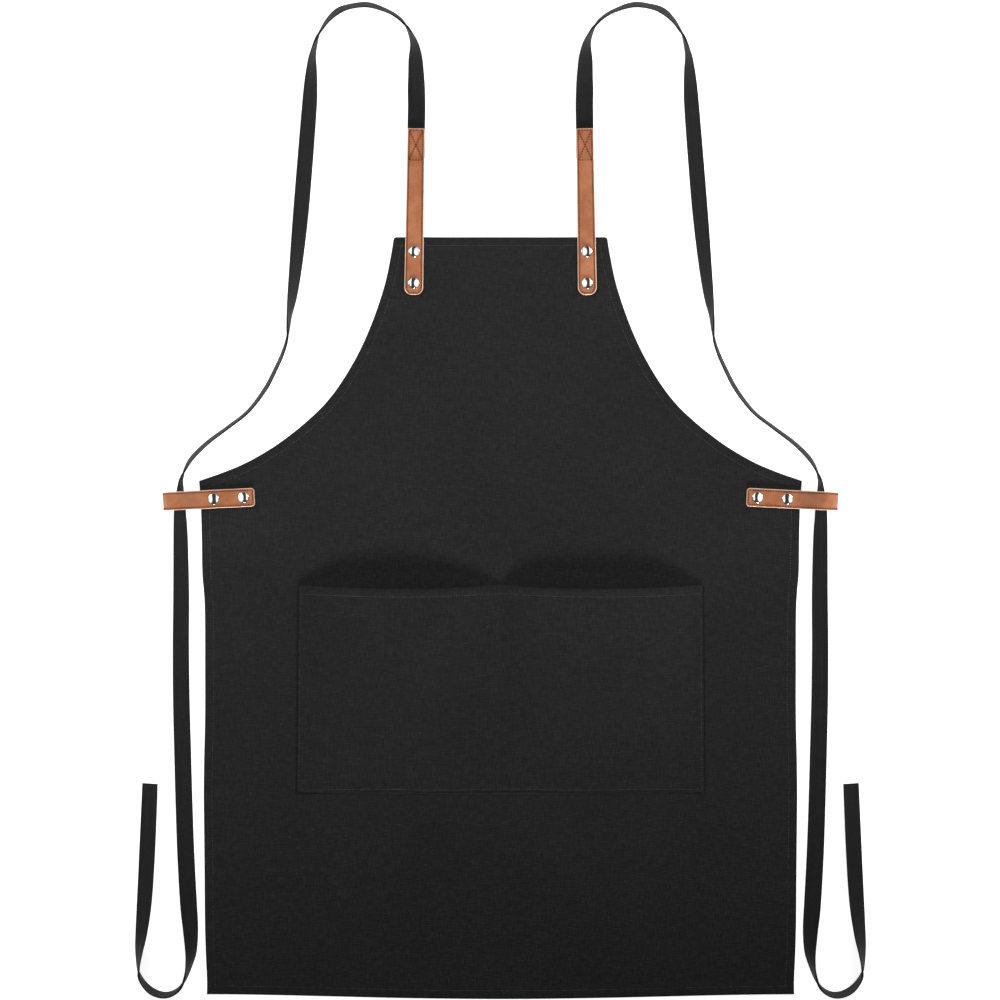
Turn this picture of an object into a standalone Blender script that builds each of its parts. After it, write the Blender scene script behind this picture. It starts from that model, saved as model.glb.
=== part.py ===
"""A canvas bib apron lying flat, face up: a panel with a two-compartment pocket, riveted leather tabs
and side loops, and a flat tape on each side that runs from its bib tab through its side loop.

Metres, +Z up, +Y towards the bib. The origin is on the floor, under the middle of the apron.
Left is -X. The right side repeats the left one, mirrored in the plane x = 0.
"""

import math

import bmesh
import bpy
from mathutils import Vector
from mathutils.geometry import interpolate_bezier

GAP = 0.0003  # between pieces that touch
CLOTH = 0.0010
LEATHER = 0.0011
TAPE_WIDTH = 0.0200
TAPE_THICKNESS = 0.0012
TAPE_CLEARANCE = 0.0002  # between a tape's lower edge and the floor

# Panel outline: half width and height up the apron, down the armhole to the waist corner, then to the hem
PANEL_OUTLINE = (
    (0.1220, 0.3705),
    (0.1230, 0.3611),
    (0.1273, 0.3372),
    (0.1308, 0.3212),
    (0.1353, 0.3052),
    (0.1406, 0.2892),
    (0.1464, 0.2733),
    (0.1530, 0.2573),
    (0.1604, 0.2413),
    (0.1690, 0.2253),
    (0.1786, 0.2094),
    (0.1896, 0.1934),
    (0.2030, 0.1774),
    (0.2197, 0.1615),
    (0.2391, 0.1455),
    (0.2616, 0.1295),
    (0.2894, 0.1135),
    (0.3157, 0.1023),
    (0.3436, 0.0925),
    (0.3427, 0.0810),
    (0.3418, 0.0690),
    (0.3412, 0.0560),
    (0.3409, 0.0420),
    (0.3407, 0.0280),
    (0.3406, 0.0140),
    (0.3405, -0.0020),
    (0.3399, -0.0180),
    (0.3387, -0.0302),
    (0.3376, -0.0462),
    (0.3371, -0.0650),
    (0.3370, -0.0940),
    (0.3370, -0.1260),
    (0.3369, -0.1580),
    (0.3372, -0.1900),
    (0.3380, -0.2219),
    (0.3385, -0.2620),
    (0.3383, -0.2880),
    (0.3378, -0.3337),
    (0.3374, -0.3817),
    (0.3371, -0.4136),
    (0.3362, -0.4456),
    (0.3348, -0.4775),
    (0.3350, -0.4932),
)
WAIST = 0.0925
HEM = PANEL_OUTLINE[-1][1]
HEM_SAG = 0.0053
PANEL_COLUMNS = 26

# Pocket, sewn down along its sides, its bottom and its middle
POCKET_TOP = -0.0259
POCKET_BOTTOM = -0.2615
POCKET_TOP_HALF = 0.2301
POCKET_BOTTOM_HALF = 0.2320
MOUTH_SAG = 0.0046
MOUTH_LIFT = 0.0120
POCKET_CELLS = 8
POCKET_ROWS = 9

# Leather tab on each side of the bib
TAB_MIDDLE = (0.0976, 0.3995)
TAB_HALF_LENGTH = 0.0946
TAB_TOP_HALF_WIDTH = 0.0095
TAB_LOW_HALF_WIDTH = 0.0104
TAB_LEAN = math.radians(0.9)
TAB_END_RADIUS = 0.0085
TAB_RIVETS = {"bib_upper": -0.0456, "bib_lower": -0.0816}

# Leather loop round each waist corner. Its route runs out along the front leg, round the fold and back.
LOOP_MIDDLE = (0.3100, 0.0725)
LOOP_HALF_WIDTH = 0.0102
LOOP_LEAN = math.radians(2.8)
LOOP_END_RADIUS = 0.0035
LOOP_RIVETS = {"side_inner": -0.01705, "side_outer": 0.01705}
LOOP_LEG_END = -0.0294
LOOP_LEG_FLAT = 0.0270
LOOP_CREST = (0.0590, 0.0248)
LOOP_FOLD = (0.0733, 0.0110)
LOOP_BELLY = (0.0560, 0.0016)

# Rivet: a domed cap with a post in front, and a flat cap with a socket behind
BACK_CAP_BASE = 0.0002
BACK_CAP_TOP = 0.0015
CAP_RADIUS = 0.0065
CAP_RISE = 0.0021
BACK_CAP_RADIUS = 0.0055
POST_RADIUS = 0.0013
SOCKET_BORE = 0.0016
SOCKET_RADIUS = 0.0020
HOLE_RADIUS = 0.0023
RIVET_STEPS = 12

# Heights of the stacks, from the back caps up
LAYER = LEATHER + GAP
BIB_LIFT = BACK_CAP_TOP + GAP
TAB_LINING = BIB_LIFT + CLOTH + GAP + LEATHER / 2
BACK_LEG = BACK_CAP_TOP + GAP + LEATHER + GAP / 2
WAIST_LIFT = BACK_LEG + GAP / 2 + LEATHER + GAP
FRONT_LEG = WAIST_LIFT + CLOTH + GAP + LEATHER + GAP / 2
TAB_CAP_BASE = TAB_LINING + LAYER + LEATHER / 2 + GAP
LOOP_CAP_BASE = FRONT_LEG + GAP / 2 + LEATHER + GAP
LINING_GROWS = 0.0004  # the lining shows as a light edge round the face

# The panel lies higher over the back caps and the loops' back legs: (x low, x high, y low, y high), lift, run-out
RAISED_PATCHES = (
    ((0.083, 0.114, 0.300, 0.380), BIB_LIFT, 0.035),
    ((0.272, 0.350, 0.052, 0.095), WAIST_LIFT, 0.050),
)

# Left tape: x, y, roll in degrees and lift off the floor. Rolled to -90 it stands on its left edge.
# The neck run goes from under the tab, over the arch and down to the loop.
NECK_ROUTE = (
    (-0.0962, 0.4610, 0, 0.0012),
    (-0.0961, 0.4860, 0, 0.0012),
    (-0.0960, 0.4982, 0, 0.0012),
    (-0.0957, 0.5208, -4, 0.0006),
    (-0.0960, 0.5388, -8, 0.0003),
    (-0.0962, 0.5536, -22, 0),
    (-0.0969, 0.5715, -34, 0),
    (-0.0973, 0.5803, -46, 0),
    (-0.0989, 0.5920, -65, 0),
    (-0.1044, 0.6056, -84, 0),
    (-0.1093, 0.6129, -94, 0),
    (-0.1154, 0.6194, -100, 0),
    (-0.1280, 0.6274, -104, 0),
    (-0.1507, 0.6349, -111, 0),
    (-0.1715, 0.6330, -111, 0),
    (-0.1854, 0.6277, -115, 0),
    (-0.1963, 0.6178, -108, 0),
    (-0.2030, 0.6083, -100, 0),
    (-0.2091, 0.5970, -89, 0),
    (-0.2140, 0.5774, -71, 0),
    (-0.2152, 0.5626, -56, 0),
    (-0.2163, 0.5450, -43, 0),
    (-0.2180, 0.5179, -33, 0),
    (-0.2227, 0.4582, -28, 0),
    (-0.2276, 0.3985, -29, 0),
    (-0.2332, 0.3387, -44, 0),
    (-0.2373, 0.3030, -59, 0),
    (-0.2408, 0.2792, -78, 0),
    (-0.2430, 0.2554, -94, 0),
    (-0.2481, 0.2381, -100, 0),
    (-0.2554, 0.2216, -102, 0),
    (-0.2678, 0.1976, -104, 0),
    (-0.2878, 0.1715, -101, 0),
    (-0.3110, 0.1532, -101, 0),
    (-0.3352, 0.1349, -104, 0),
    (-0.3538, 0.1156, -104, 0.0009),
    (-0.3628, 0.0966, -88, 0.0024),
    (-0.3645, 0.0848, -73, 0.0031),
    (-0.3650, 0.0680, -58, 0.0032),
    (-0.3650, 0.0500, -46, 0.0031),
)
# The tie goes from the loop down the side, round a turn at the hem and up to its free end.
TIE_ROUTE = (
    (-0.3650, 0.0497, -46, 0.0031),
    (-0.3644, 0.0249, -37, 0.0029),
    (-0.3639, -0.0351, -28, 0.0024),
    (-0.3643, -0.0950, -25, 0.0018),
    (-0.3639, -0.1550, -21, 0.0011),
    (-0.3625, -0.2149, -18, 0.0003),
    (-0.3609, -0.2749, -17, 0),
    (-0.3588, -0.3348, -15, 0),
    (-0.3557, -0.3910, -18, 0),
    (-0.3534, -0.4184, -32, 0),
    (-0.3527, -0.4422, -50, 0),
    (-0.3543, -0.4560, -66, 0),
    (-0.3581, -0.4714, -83, 0),
    (-0.3646, -0.4847, -95, 0),
    (-0.3755, -0.4922, -103, 0),
    (-0.3872, -0.4930, -107, 0),
    (-0.3998, -0.4872, -108, 0),
    (-0.4095, -0.4755, -98, 0),
    (-0.4127, -0.4637, -82, 0),
    (-0.4118, -0.4428, -61, 0),
    (-0.4093, -0.4221, -44, 0),
    (-0.4058, -0.3835, -27, 0),
    (-0.4026, -0.3237, -21, 0),
    (-0.3996, -0.2525, -24, 0),
)
TAPE_STATION = 0.016
LOOP_CENTRE_Y = 0.068

PARTS = "canvas_apron"
CUTTERS = "cutters"


def clear_scene():
    for obj in list(bpy.data.objects):
        bpy.data.objects.remove(obj, do_unlink=True)


def new_collection(name):
    collection = bpy.data.collections.new(name)
    bpy.context.scene.collection.children.link(collection)
    return collection


def new_material(name, colour, roughness, metallic=0.0):
    material = bpy.data.materials.new(name)
    material.use_nodes = True
    shader = material.node_tree.nodes["Principled BSDF"]
    shader.inputs["Base Color"].default_value = (*colour, 1.0)
    shader.inputs["Roughness"].default_value = roughness
    shader.inputs["Metallic"].default_value = metallic
    return material


def add_object(name, mesh, collection, material=None, location=(0, 0, 0), turn=0.0):
    obj = bpy.data.objects.new(name, mesh)
    collection.objects.link(obj)
    if material and not mesh.materials:
        mesh.materials.append(material)
    obj.location = location
    obj.rotation_euler = (0, 0, turn)
    return obj


def grid_mesh(name, rows):
    """An open sheet through rows of points, all rows the same length."""
    form = bmesh.new()
    made = [[form.verts.new(point) for point in row] for row in rows]
    for low, high in zip(made, made[1:]):
        for i in range(len(low) - 1):
            form.faces.new((low[i], low[i + 1], high[i + 1], high[i]))
    bmesh.ops.recalc_face_normals(form, faces=form.faces)
    mesh = bpy.data.meshes.new(name)
    form.to_mesh(mesh)
    form.free()
    return mesh


def thicken(obj, thickness):
    solid = obj.modifiers.new("thickness", "SOLIDIFY")
    solid.thickness = thickness
    solid.offset = 0.0
    solid.use_even_offset = True


def cut_holes(obj, cutters):
    for cutter in cutters:
        cut = obj.modifiers.new("rivet_hole", "BOOLEAN")
        cut.operation = "DIFFERENCE"
        cut.solver = "EXACT"
        cut.object = cutter


def smooth_step(share):
    share = min(max(share, 0.0), 1.0)
    return share * share * (3 - 2 * share)


def panel_lift(x, y):
    """Height of the panel's underside: 0 on the floor, more over the back caps and back legs."""
    lift = 0.0
    for (x_low, x_high, y_low, y_high), height, run_out in RAISED_PATCHES:
        past_x = max(x_low - abs(x), abs(x) - x_high, 0.0)
        past_y = max(y_low - y, y - y_high, 0.0)
        lift = max(lift, height * smooth_step(1 - math.hypot(past_x, past_y) / run_out))
    return lift


def make_panel(collection, material):
    columns = [math.sin(math.pi * (i / PANEL_COLUMNS - 0.5)) for i in range(PANEL_COLUMNS + 1)]
    rows = []
    for half, y in PANEL_OUTLINE:
        sag = HEM_SAG * smooth_step((WAIST - y) / (WAIST - HEM))
        row = []
        for column in columns:
            x = half * column
            row_y = y - sag * (1 - column * column) ** 2
            row.append((x, row_y, panel_lift(x, row_y) + CLOTH / 2))
        rows.append(row)
    panel = add_object("apron_panel", grid_mesh("apron_panel", rows), collection, material)
    thicken(panel, CLOTH)
    return panel


def make_pocket(collection, material):
    """The pocket bellies out over each compartment, most at its mouth, and its seams lie on the panel."""
    rows = []
    for i in range(POCKET_ROWS + 1):
        up = i / POCKET_ROWS
        half = POCKET_BOTTOM_HALF + (POCKET_TOP_HALF - POCKET_BOTTOM_HALF) * up
        row = []
        for j in range(-POCKET_CELLS, POCKET_CELLS + 1):
            across = j / POCKET_CELLS
            belly = math.sin(math.pi * abs(across)) ** 1.2
            x = half * across
            y = POCKET_BOTTOM + (POCKET_TOP - POCKET_BOTTOM) * up - MOUTH_SAG * belly * up**4
            z = CLOTH + GAP + CLOTH / 2 + MOUTH_LIFT * belly * up**1.25
            row.append((x, y, z))
        rows.append(row)
    pocket = add_object("pocket_panel", grid_mesh("pocket_panel", rows), collection, material)
    thicken(pocket, CLOTH)
    return pocket


def rounded_half(half, radius, from_end):
    """Half width of a strip at a distance from an end whose corners are rounded."""
    if from_end >= radius:
        return half
    return half - radius + math.sqrt(max(radius**2 - (radius - from_end) ** 2, 0.0))


def end_distances(radius):
    """Distances from a rounded end at which a strip has a row of points."""
    return [radius * (1 - math.cos(math.radians(angle))) for angle in (0, 25, 50, 75)]


def make_tab_layer(name, side, height, grow, collection, material):
    half_length = TAB_HALF_LENGTH + grow
    radius = TAB_END_RADIUS + grow
    stations = [-half_length + d for d in end_distances(radius)]
    stations += [-half_length + radius + (2 * half_length - radius) * i / 6 for i in range(7)]
    rows = []
    for y in stations:
        share = (y + half_length) / (2 * half_length)
        half = TAB_LOW_HALF_WIDTH + (TAB_TOP_HALF_WIDTH - TAB_LOW_HALF_WIDTH) * share + grow
        half = rounded_half(half, radius, y + half_length)
        rows.append([(half * i / 2, y, height) for i in range(-2, 3)])
    place = (side * TAB_MIDDLE[0], TAB_MIDDLE[1], 0)
    tab = add_object(name, grid_mesh(name, rows), collection, material, place, side * TAB_LEAN)
    thicken(tab, LEATHER)
    return tab


def loop_route():
    """(outward, up) points of the loop's middle surface, from the front leg's end to the back leg's end."""
    knots = [  # point, and its direction of travel scaled to the handle's length
        ((LOOP_LEG_FLAT, FRONT_LEG), (0.012, 0.0)),
        (LOOP_CREST, (0.0085, 0.0)),
        (LOOP_FOLD, (0.0, -0.0052)),
        (LOOP_BELLY, (-0.0105, 0.0)),
        ((LOOP_LEG_FLAT, BACK_LEG), (-0.010, 0.0)),
    ]
    points = []
    for (start, leave), (end, arrive) in zip(knots, knots[1:]):
        first, last = Vector((*start, 0)), Vector((*end, 0))
        handles = first + Vector((*leave, 0)), last - Vector((*arrive, 0))
        points += interpolate_bezier(first, *handles, last, 8)[:-1]
    points.append(Vector((LOOP_LEG_FLAT, BACK_LEG, 0)))
    return [(point.x, point.y) for point in points]


def make_loop_layer(name, side, outward, grow, collection, material):
    """One layer of the folded strip, offset from the middle surface, outside it or inside it."""
    radius = LOOP_END_RADIUS + grow
    end = LOOP_LEG_END - grow
    leg = [end + d for d in end_distances(radius)] + [end + radius]
    leg += [-0.012, 0.002, 0.016]
    route = [(u, FRONT_LEG) for u in leg] + loop_route() + [(u, BACK_LEG) for u in reversed(leg)]
    rows = []
    for i, (u, z) in enumerate(route):
        before, after = Vector(route[max(i - 1, 0)]), Vector(route[min(i + 1, len(route) - 1)])
        along = (after - before).normalized()
        u_layer = u - along.y * outward
        z_layer = z + along.x * outward
        half = rounded_half(LOOP_HALF_WIDTH + grow, radius, u - end)
        rows.append([(side * u_layer, half * j / 2, z_layer) for j in range(-2, 3)])
    place = (side * LOOP_MIDDLE[0], LOOP_MIDDLE[1], 0)
    loop = add_object(name, grid_mesh(name, rows), collection, material, place, -side * LOOP_LEAN)
    thicken(loop, LEATHER)
    return loop


def rivet_places(side):
    """Name, place and height of the front cap's base for each rivet on one side."""
    places = {}
    for name, along in TAB_RIVETS.items():
        x = side * (TAB_MIDDLE[0] - along * math.sin(TAB_LEAN))
        places[name] = (x, TAB_MIDDLE[1] + along * math.cos(TAB_LEAN)), TAB_CAP_BASE
    for name, along in LOOP_RIVETS.items():
        x = side * (LOOP_MIDDLE[0] + along * math.cos(LOOP_LEAN))
        places[name] = (x, LOOP_MIDDLE[1] - along * math.sin(LOOP_LEAN)), LOOP_CAP_BASE
    return places


def turned_mesh(name, profile):
    """An open profile of (radius, height) points, from the top of the axis round to its foot."""
    mesh = bpy.data.meshes.new(name)
    edges = [(i, i + 1) for i in range(len(profile) - 1)]
    mesh.from_pydata([(radius, 0, height) for radius, height in profile], edges, [])
    return mesh


def turn(obj):
    screw = obj.modifiers.new("turned", "SCREW")
    screw.steps = RIVET_STEPS
    screw.render_steps = RIVET_STEPS
    screw.use_merge_vertices = True
    screw.merge_threshold = 0.00001
    screw.use_smooth_shade = True


def front_cap_profile(cap_base):
    """Domed cap on the leather, with a post that reaches down into the socket."""
    post_end = BACK_CAP_TOP - cap_base
    return [
        (0, CAP_RISE),
        (0.55 * CAP_RADIUS, 0.82 * CAP_RISE),
        (0.90 * CAP_RADIUS, 0.38 * CAP_RISE),
        (CAP_RADIUS, 0),
        (POST_RADIUS, 0),
        (POST_RADIUS, post_end),
        (0, post_end),
    ]


def back_cap_profile(cap_base):
    """Flat cap under the stack, with the socket that the post goes into."""
    socket_top = cap_base - 2 * GAP
    bore_floor = BACK_CAP_TOP - GAP
    return [
        (0, bore_floor),
        (SOCKET_BORE, bore_floor),
        (SOCKET_BORE, socket_top),
        (SOCKET_RADIUS, socket_top),
        (SOCKET_RADIUS, BACK_CAP_TOP),
        (BACK_CAP_RADIUS, BACK_CAP_TOP),
        (0.82 * BACK_CAP_RADIUS, BACK_CAP_BASE),
        (0, BACK_CAP_BASE),
    ]


def make_rivets(sides, collection, material):
    meshes = {}
    for prefix, side in sides:
        for name, ((x, y), base) in rivet_places(side).items():
            stack = name.split("_")[0]
            if stack not in meshes:
                meshes[stack] = (
                    turned_mesh(f"{stack}_front_cap", front_cap_profile(base)),
                    turned_mesh(f"{stack}_back_cap", back_cap_profile(base)),
                )
            front, back = meshes[stack]
            turn(add_object(f"{prefix}_{name}_rivet_cap", front, collection, material, (x, y, base)))
            turn(add_object(f"{prefix}_{name}_rivet_back", back, collection, material, (x, y, 0)))


def make_hole_cutters(sides, collection):
    """A cylinder through the whole stack at each rivet. Returns (stack, side) to its cutters."""
    cutters = {}
    for prefix, side in sides:
        for name, ((x, y), _) in rivet_places(side).items():
            form = bmesh.new()
            bmesh.ops.create_cone(
                form, cap_ends=True, segments=RIVET_STEPS,
                radius1=HOLE_RADIUS, radius2=HOLE_RADIUS, depth=0.060,
            )
            mesh = bpy.data.meshes.new(f"{prefix}_{name}_hole")
            form.to_mesh(mesh)
            form.free()
            cutter = add_object(f"{prefix}_{name}_hole", mesh, collection, location=(x, y, 0.005))
            cutter.hide_render = True
            cutter.display_type = "WIRE"
            cutters.setdefault((name.split("_")[0], side), []).append(cutter)
    return cutters


def smooth_route(route, spacing):
    """Points about this far apart on a smooth curve through the route (Catmull-Rom spans)."""
    points = [Vector(point[:2]) for point in route]
    samples = []
    for i in range(len(route) - 1):
        p0, p1, p2, p3 = (route[min(max(k, 0), len(route) - 1)] for k in (i - 1, i, i + 1, i + 2))
        steps = max(1, round((points[i + 1] - points[i]).length / spacing))
        for step in range(steps):
            t = step / steps
            samples.append(tuple(
                0.5 * (2 * b + (c - a) * t + (2 * a - 5 * b + 4 * c - d) * t * t
                       + (3 * b - a - 3 * c + d) * t**3)
                for a, b, c, d in zip(p0, p1, p2, p3)
            ))
    samples.append(route[-1])
    return samples


def make_tape(name, route, side, collection, material):
    """A flat tape on its route. Where it is rolled up on edge, its lower edge still rests on the floor."""
    samples = smooth_route(route, TAPE_STATION)
    rows = []
    for i, (x, y, roll, lift) in enumerate(samples):
        before, after = samples[max(i - 1, 0)], samples[min(i + 1, len(samples) - 1)]
        along = Vector((after[0] - before[0], after[1] - before[1])).normalized()
        sine, cosine = math.sin(math.radians(roll)), math.cos(math.radians(roll))
        middle_z = lift + abs(sine) * TAPE_WIDTH / 2 + abs(cosine) * TAPE_THICKNESS / 2
        middle = Vector((x, y, middle_z + TAPE_CLEARANCE))
        half = Vector((along.y * cosine, -along.x * cosine, -sine)) * (TAPE_WIDTH / 2)
        rows.append([(-side * p.x, p.y, p.z) for p in (middle - half, middle + half)])
    tape = add_object(name, grid_mesh(name, rows), collection, material)
    thicken(tape, TAPE_THICKNESS)
    return tape


def make_slide_empty(name, side, collection):
    """Marks where a tape slides through its loop."""
    empty = bpy.data.objects.new(name, None)
    collection.objects.link(empty)
    empty.location = (side * abs(TIE_ROUTE[0][0]), LOOP_CENTRE_Y, 0)
    return empty


def main():
    clear_scene()
    parts = new_collection(PARTS)
    helpers = new_collection(CUTTERS)
    canvas = new_material("canvas", (0.026, 0.026, 0.027), 0.85)
    tape_weave = new_material("tape", (0.024, 0.024, 0.025), 0.80)
    leather = new_material("leather", (0.50, 0.19, 0.085), 0.50)
    raw_leather = new_material("raw_leather", (0.66, 0.42, 0.27), 0.75)
    chrome = new_material("chrome", (0.82, 0.82, 0.83), 0.12, 1.0)

    sides = (("left", -1), ("right", 1))
    holes = make_hole_cutters(sides, helpers)
    panel = make_panel(parts, canvas)
    cut_holes(panel, [cutter for group in holes.values() for cutter in group])
    make_pocket(parts, canvas)
    for prefix, side in sides:
        bib_holes, side_holes = holes["bib", side], holes["side", side]
        lining = make_tab_layer(
            f"{prefix}_bib_tab_lining", side, TAB_LINING, LINING_GROWS, parts, raw_leather)
        face = make_tab_layer(f"{prefix}_bib_tab_face", side, TAB_LINING + LAYER, 0.0, parts, leather)
        for layer in (lining, face):
            cut_holes(layer, bib_holes)
        outer = make_loop_layer(f"{prefix}_side_loop_face", side, LAYER / 2, 0.0, parts, leather)
        inner = make_loop_layer(
            f"{prefix}_side_loop_lining", side, -LAYER / 2, LINING_GROWS, parts, raw_leather)
        for layer in (outer, inner):
            cut_holes(layer, side_holes)
        make_tape(f"{prefix}_neck_tape", NECK_ROUTE, side, parts, tape_weave)
        slide = make_slide_empty(f"{prefix}_tape_slide", side, parts)
        tie = make_tape(f"{prefix}_waist_tie", TIE_ROUTE, side, parts, tape_weave)
        tie.parent = slide
        tie.matrix_parent_inverse = slide.matrix_basis.inverted()
    make_rivets(sides, parts, chrome)


main()
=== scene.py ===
"""Looks of the canvas bib apron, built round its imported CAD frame. Metres, +Z up, +Y towards the bib.

Left is -X. Each side's pieces come from the same functions, with side = -1 or +1.
"""

import math

import bpy
import numpy as np
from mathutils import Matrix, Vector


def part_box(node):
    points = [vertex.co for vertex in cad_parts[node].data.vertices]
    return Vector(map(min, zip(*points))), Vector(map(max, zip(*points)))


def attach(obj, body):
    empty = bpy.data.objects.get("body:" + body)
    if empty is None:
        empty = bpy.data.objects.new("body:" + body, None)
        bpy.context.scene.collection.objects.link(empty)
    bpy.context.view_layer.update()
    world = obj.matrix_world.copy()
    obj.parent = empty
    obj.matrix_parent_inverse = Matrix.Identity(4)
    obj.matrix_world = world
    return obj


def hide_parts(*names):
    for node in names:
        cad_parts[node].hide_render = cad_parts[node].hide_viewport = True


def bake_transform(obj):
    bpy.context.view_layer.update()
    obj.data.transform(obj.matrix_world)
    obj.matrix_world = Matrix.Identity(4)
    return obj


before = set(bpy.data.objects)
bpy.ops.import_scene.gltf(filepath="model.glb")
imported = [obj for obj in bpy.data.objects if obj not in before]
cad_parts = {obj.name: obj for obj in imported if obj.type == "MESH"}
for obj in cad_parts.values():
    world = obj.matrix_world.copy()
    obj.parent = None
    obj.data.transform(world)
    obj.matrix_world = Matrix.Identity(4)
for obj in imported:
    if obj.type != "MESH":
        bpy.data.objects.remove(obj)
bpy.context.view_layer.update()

# ---------------------------------------------------------------- sizes, from the frame
POCKET_LOW, POCKET_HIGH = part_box("pocket_panel")
CLOTH_TOP = 0.0010  # the cloth's upper face where it lies on the floor
CLOTH = 0.00060  # its thickness
HEM_FOLD = 0.00042  # what the folded hem adds under the cloth
HEM_WIDTH = 0.0108
STITCH_IN = 0.0095  # hem stitching, from the edge
GAP = 0.0003  # between two pieces that lie on each other
LEATHER = 0.0011
LAYER = LEATHER + GAP

# Panel outline, as in the CAD: half width and height up the apron, from the bib down to the hem
PANEL_OUTLINE = (
    (0.1220, 0.3705),
    (0.1230, 0.3611),
    (0.1273, 0.3372),
    (0.1308, 0.3212),
    (0.1353, 0.3052),
    (0.1406, 0.2892),
    (0.1464, 0.2733),
    (0.1530, 0.2573),
    (0.1604, 0.2413),
    (0.1690, 0.2253),
    (0.1786, 0.2094),
    (0.1896, 0.1934),
    (0.2030, 0.1774),
    (0.2197, 0.1615),
    (0.2391, 0.1455),
    (0.2616, 0.1295),
    (0.2894, 0.1135),
    (0.3157, 0.1023),
    (0.3436, 0.0925),
    (0.3427, 0.0810),
    (0.3418, 0.0690),
    (0.3412, 0.0560),
    (0.3409, 0.0420),
    (0.3407, 0.0280),
    (0.3406, 0.0140),
    (0.3405, -0.0020),
    (0.3399, -0.0180),
    (0.3387, -0.0302),
    (0.3376, -0.0462),
    (0.3371, -0.0650),
    (0.3370, -0.0940),
    (0.3370, -0.1260),
    (0.3369, -0.1580),
    (0.3372, -0.1900),
    (0.3380, -0.2219),
    (0.3385, -0.2620),
    (0.3383, -0.2880),
    (0.3378, -0.3337),
    (0.3374, -0.3817),
    (0.3371, -0.4136),
    (0.3362, -0.4456),
    (0.3348, -0.4775),
    (0.3350, -0.4932),
)
BIB_TOP = PANEL_OUTLINE[0][1]
WAIST_CORNER = max(PANEL_OUTLINE)
WAIST = WAIST_CORNER[1]
HEM_HALF, HEM_Y = PANEL_OUTLINE[-1]
HEM_SAG = 0.0053
BIB_CORNER = 0.0032  # radius of the bib's turned corners

# Pocket, as in the CAD
POCKET_TOP = POCKET_HIGH.y
POCKET_BOTTOM = POCKET_LOW.y
POCKET_TOP_HALF = 0.2301
POCKET_BOTTOM_HALF = POCKET_HIGH.x
POCKET_HEIGHT = POCKET_TOP - POCKET_BOTTOM
MOUTH_SAG = 0.0046  # how far the mouth dips between the seams
MOUTH_LIFT = 0.0130  # how far it stands up off the panel there

# Leather strips, as in the CAD
TAB_MIDDLE = (0.0976, 0.3995)
TAB_HALF_LENGTH = 0.0946
TAB_TOP_HALF_WIDTH = 0.0095
TAB_LOW_HALF_WIDTH = 0.0104
TAB_LEAN = math.radians(0.9)
TAB_END_RADIUS = 0.0085
TAB_LINING_Z = sum(c.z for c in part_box("left_bib_tab_lining")) / 2
LOOP_MIDDLE = (0.3100, 0.0725)
LOOP_HALF_WIDTH = 0.0102
LOOP_LEAN = math.radians(2.8)
LOOP_END_RADIUS = 0.0035
LOOP_LEG_END = -0.0294
LOOP_LEG_FLAT = 0.0270
LOOP_CREST = (0.0590, 0.0248)
LOOP_FOLD = (0.0733, 0.0110)
LOOP_BELLY = (0.0560, 0.0016)
BACK_LEG, FRONT_LEG = 0.00305, 0.00715  # heights of the strip's middle under and over the panel
LINING_GROWS = 0.0004  # the lining shows this far past the face all round
LEATHER_ROUNDING = 0.00042
LEATHER_STITCH = 0.0018  # stitching, from the leather's edge

# Rivets, and how far the middle of each hand-set cap tips towards the apron's middle
RIVETS = (("bib_upper", 0.15), ("bib_lower", 0.11), ("side_inner", -0.11), ("side_outer", -0.02))
CAP_RADIUS, CAP_HEIGHT = 0.0063, 0.0021
BACK_CAP_RADIUS, BACK_CAP_TOP = 0.0055, 0.0015
SIDES = (("left", -1), ("right", 1))

# Where the panel lies higher, over the back caps and the loops' back legs, as in the CAD: a box of
# (x low, x high, y low, y high) on each side, the height, and how far past the box it runs out
RAISED_PATCHES = (
    ((0.083, 0.114, 0.300, 0.380), 0.0018, 0.035),
    ((0.272, 0.350, 0.052, 0.095), 0.0046, 0.050),
)

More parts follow.
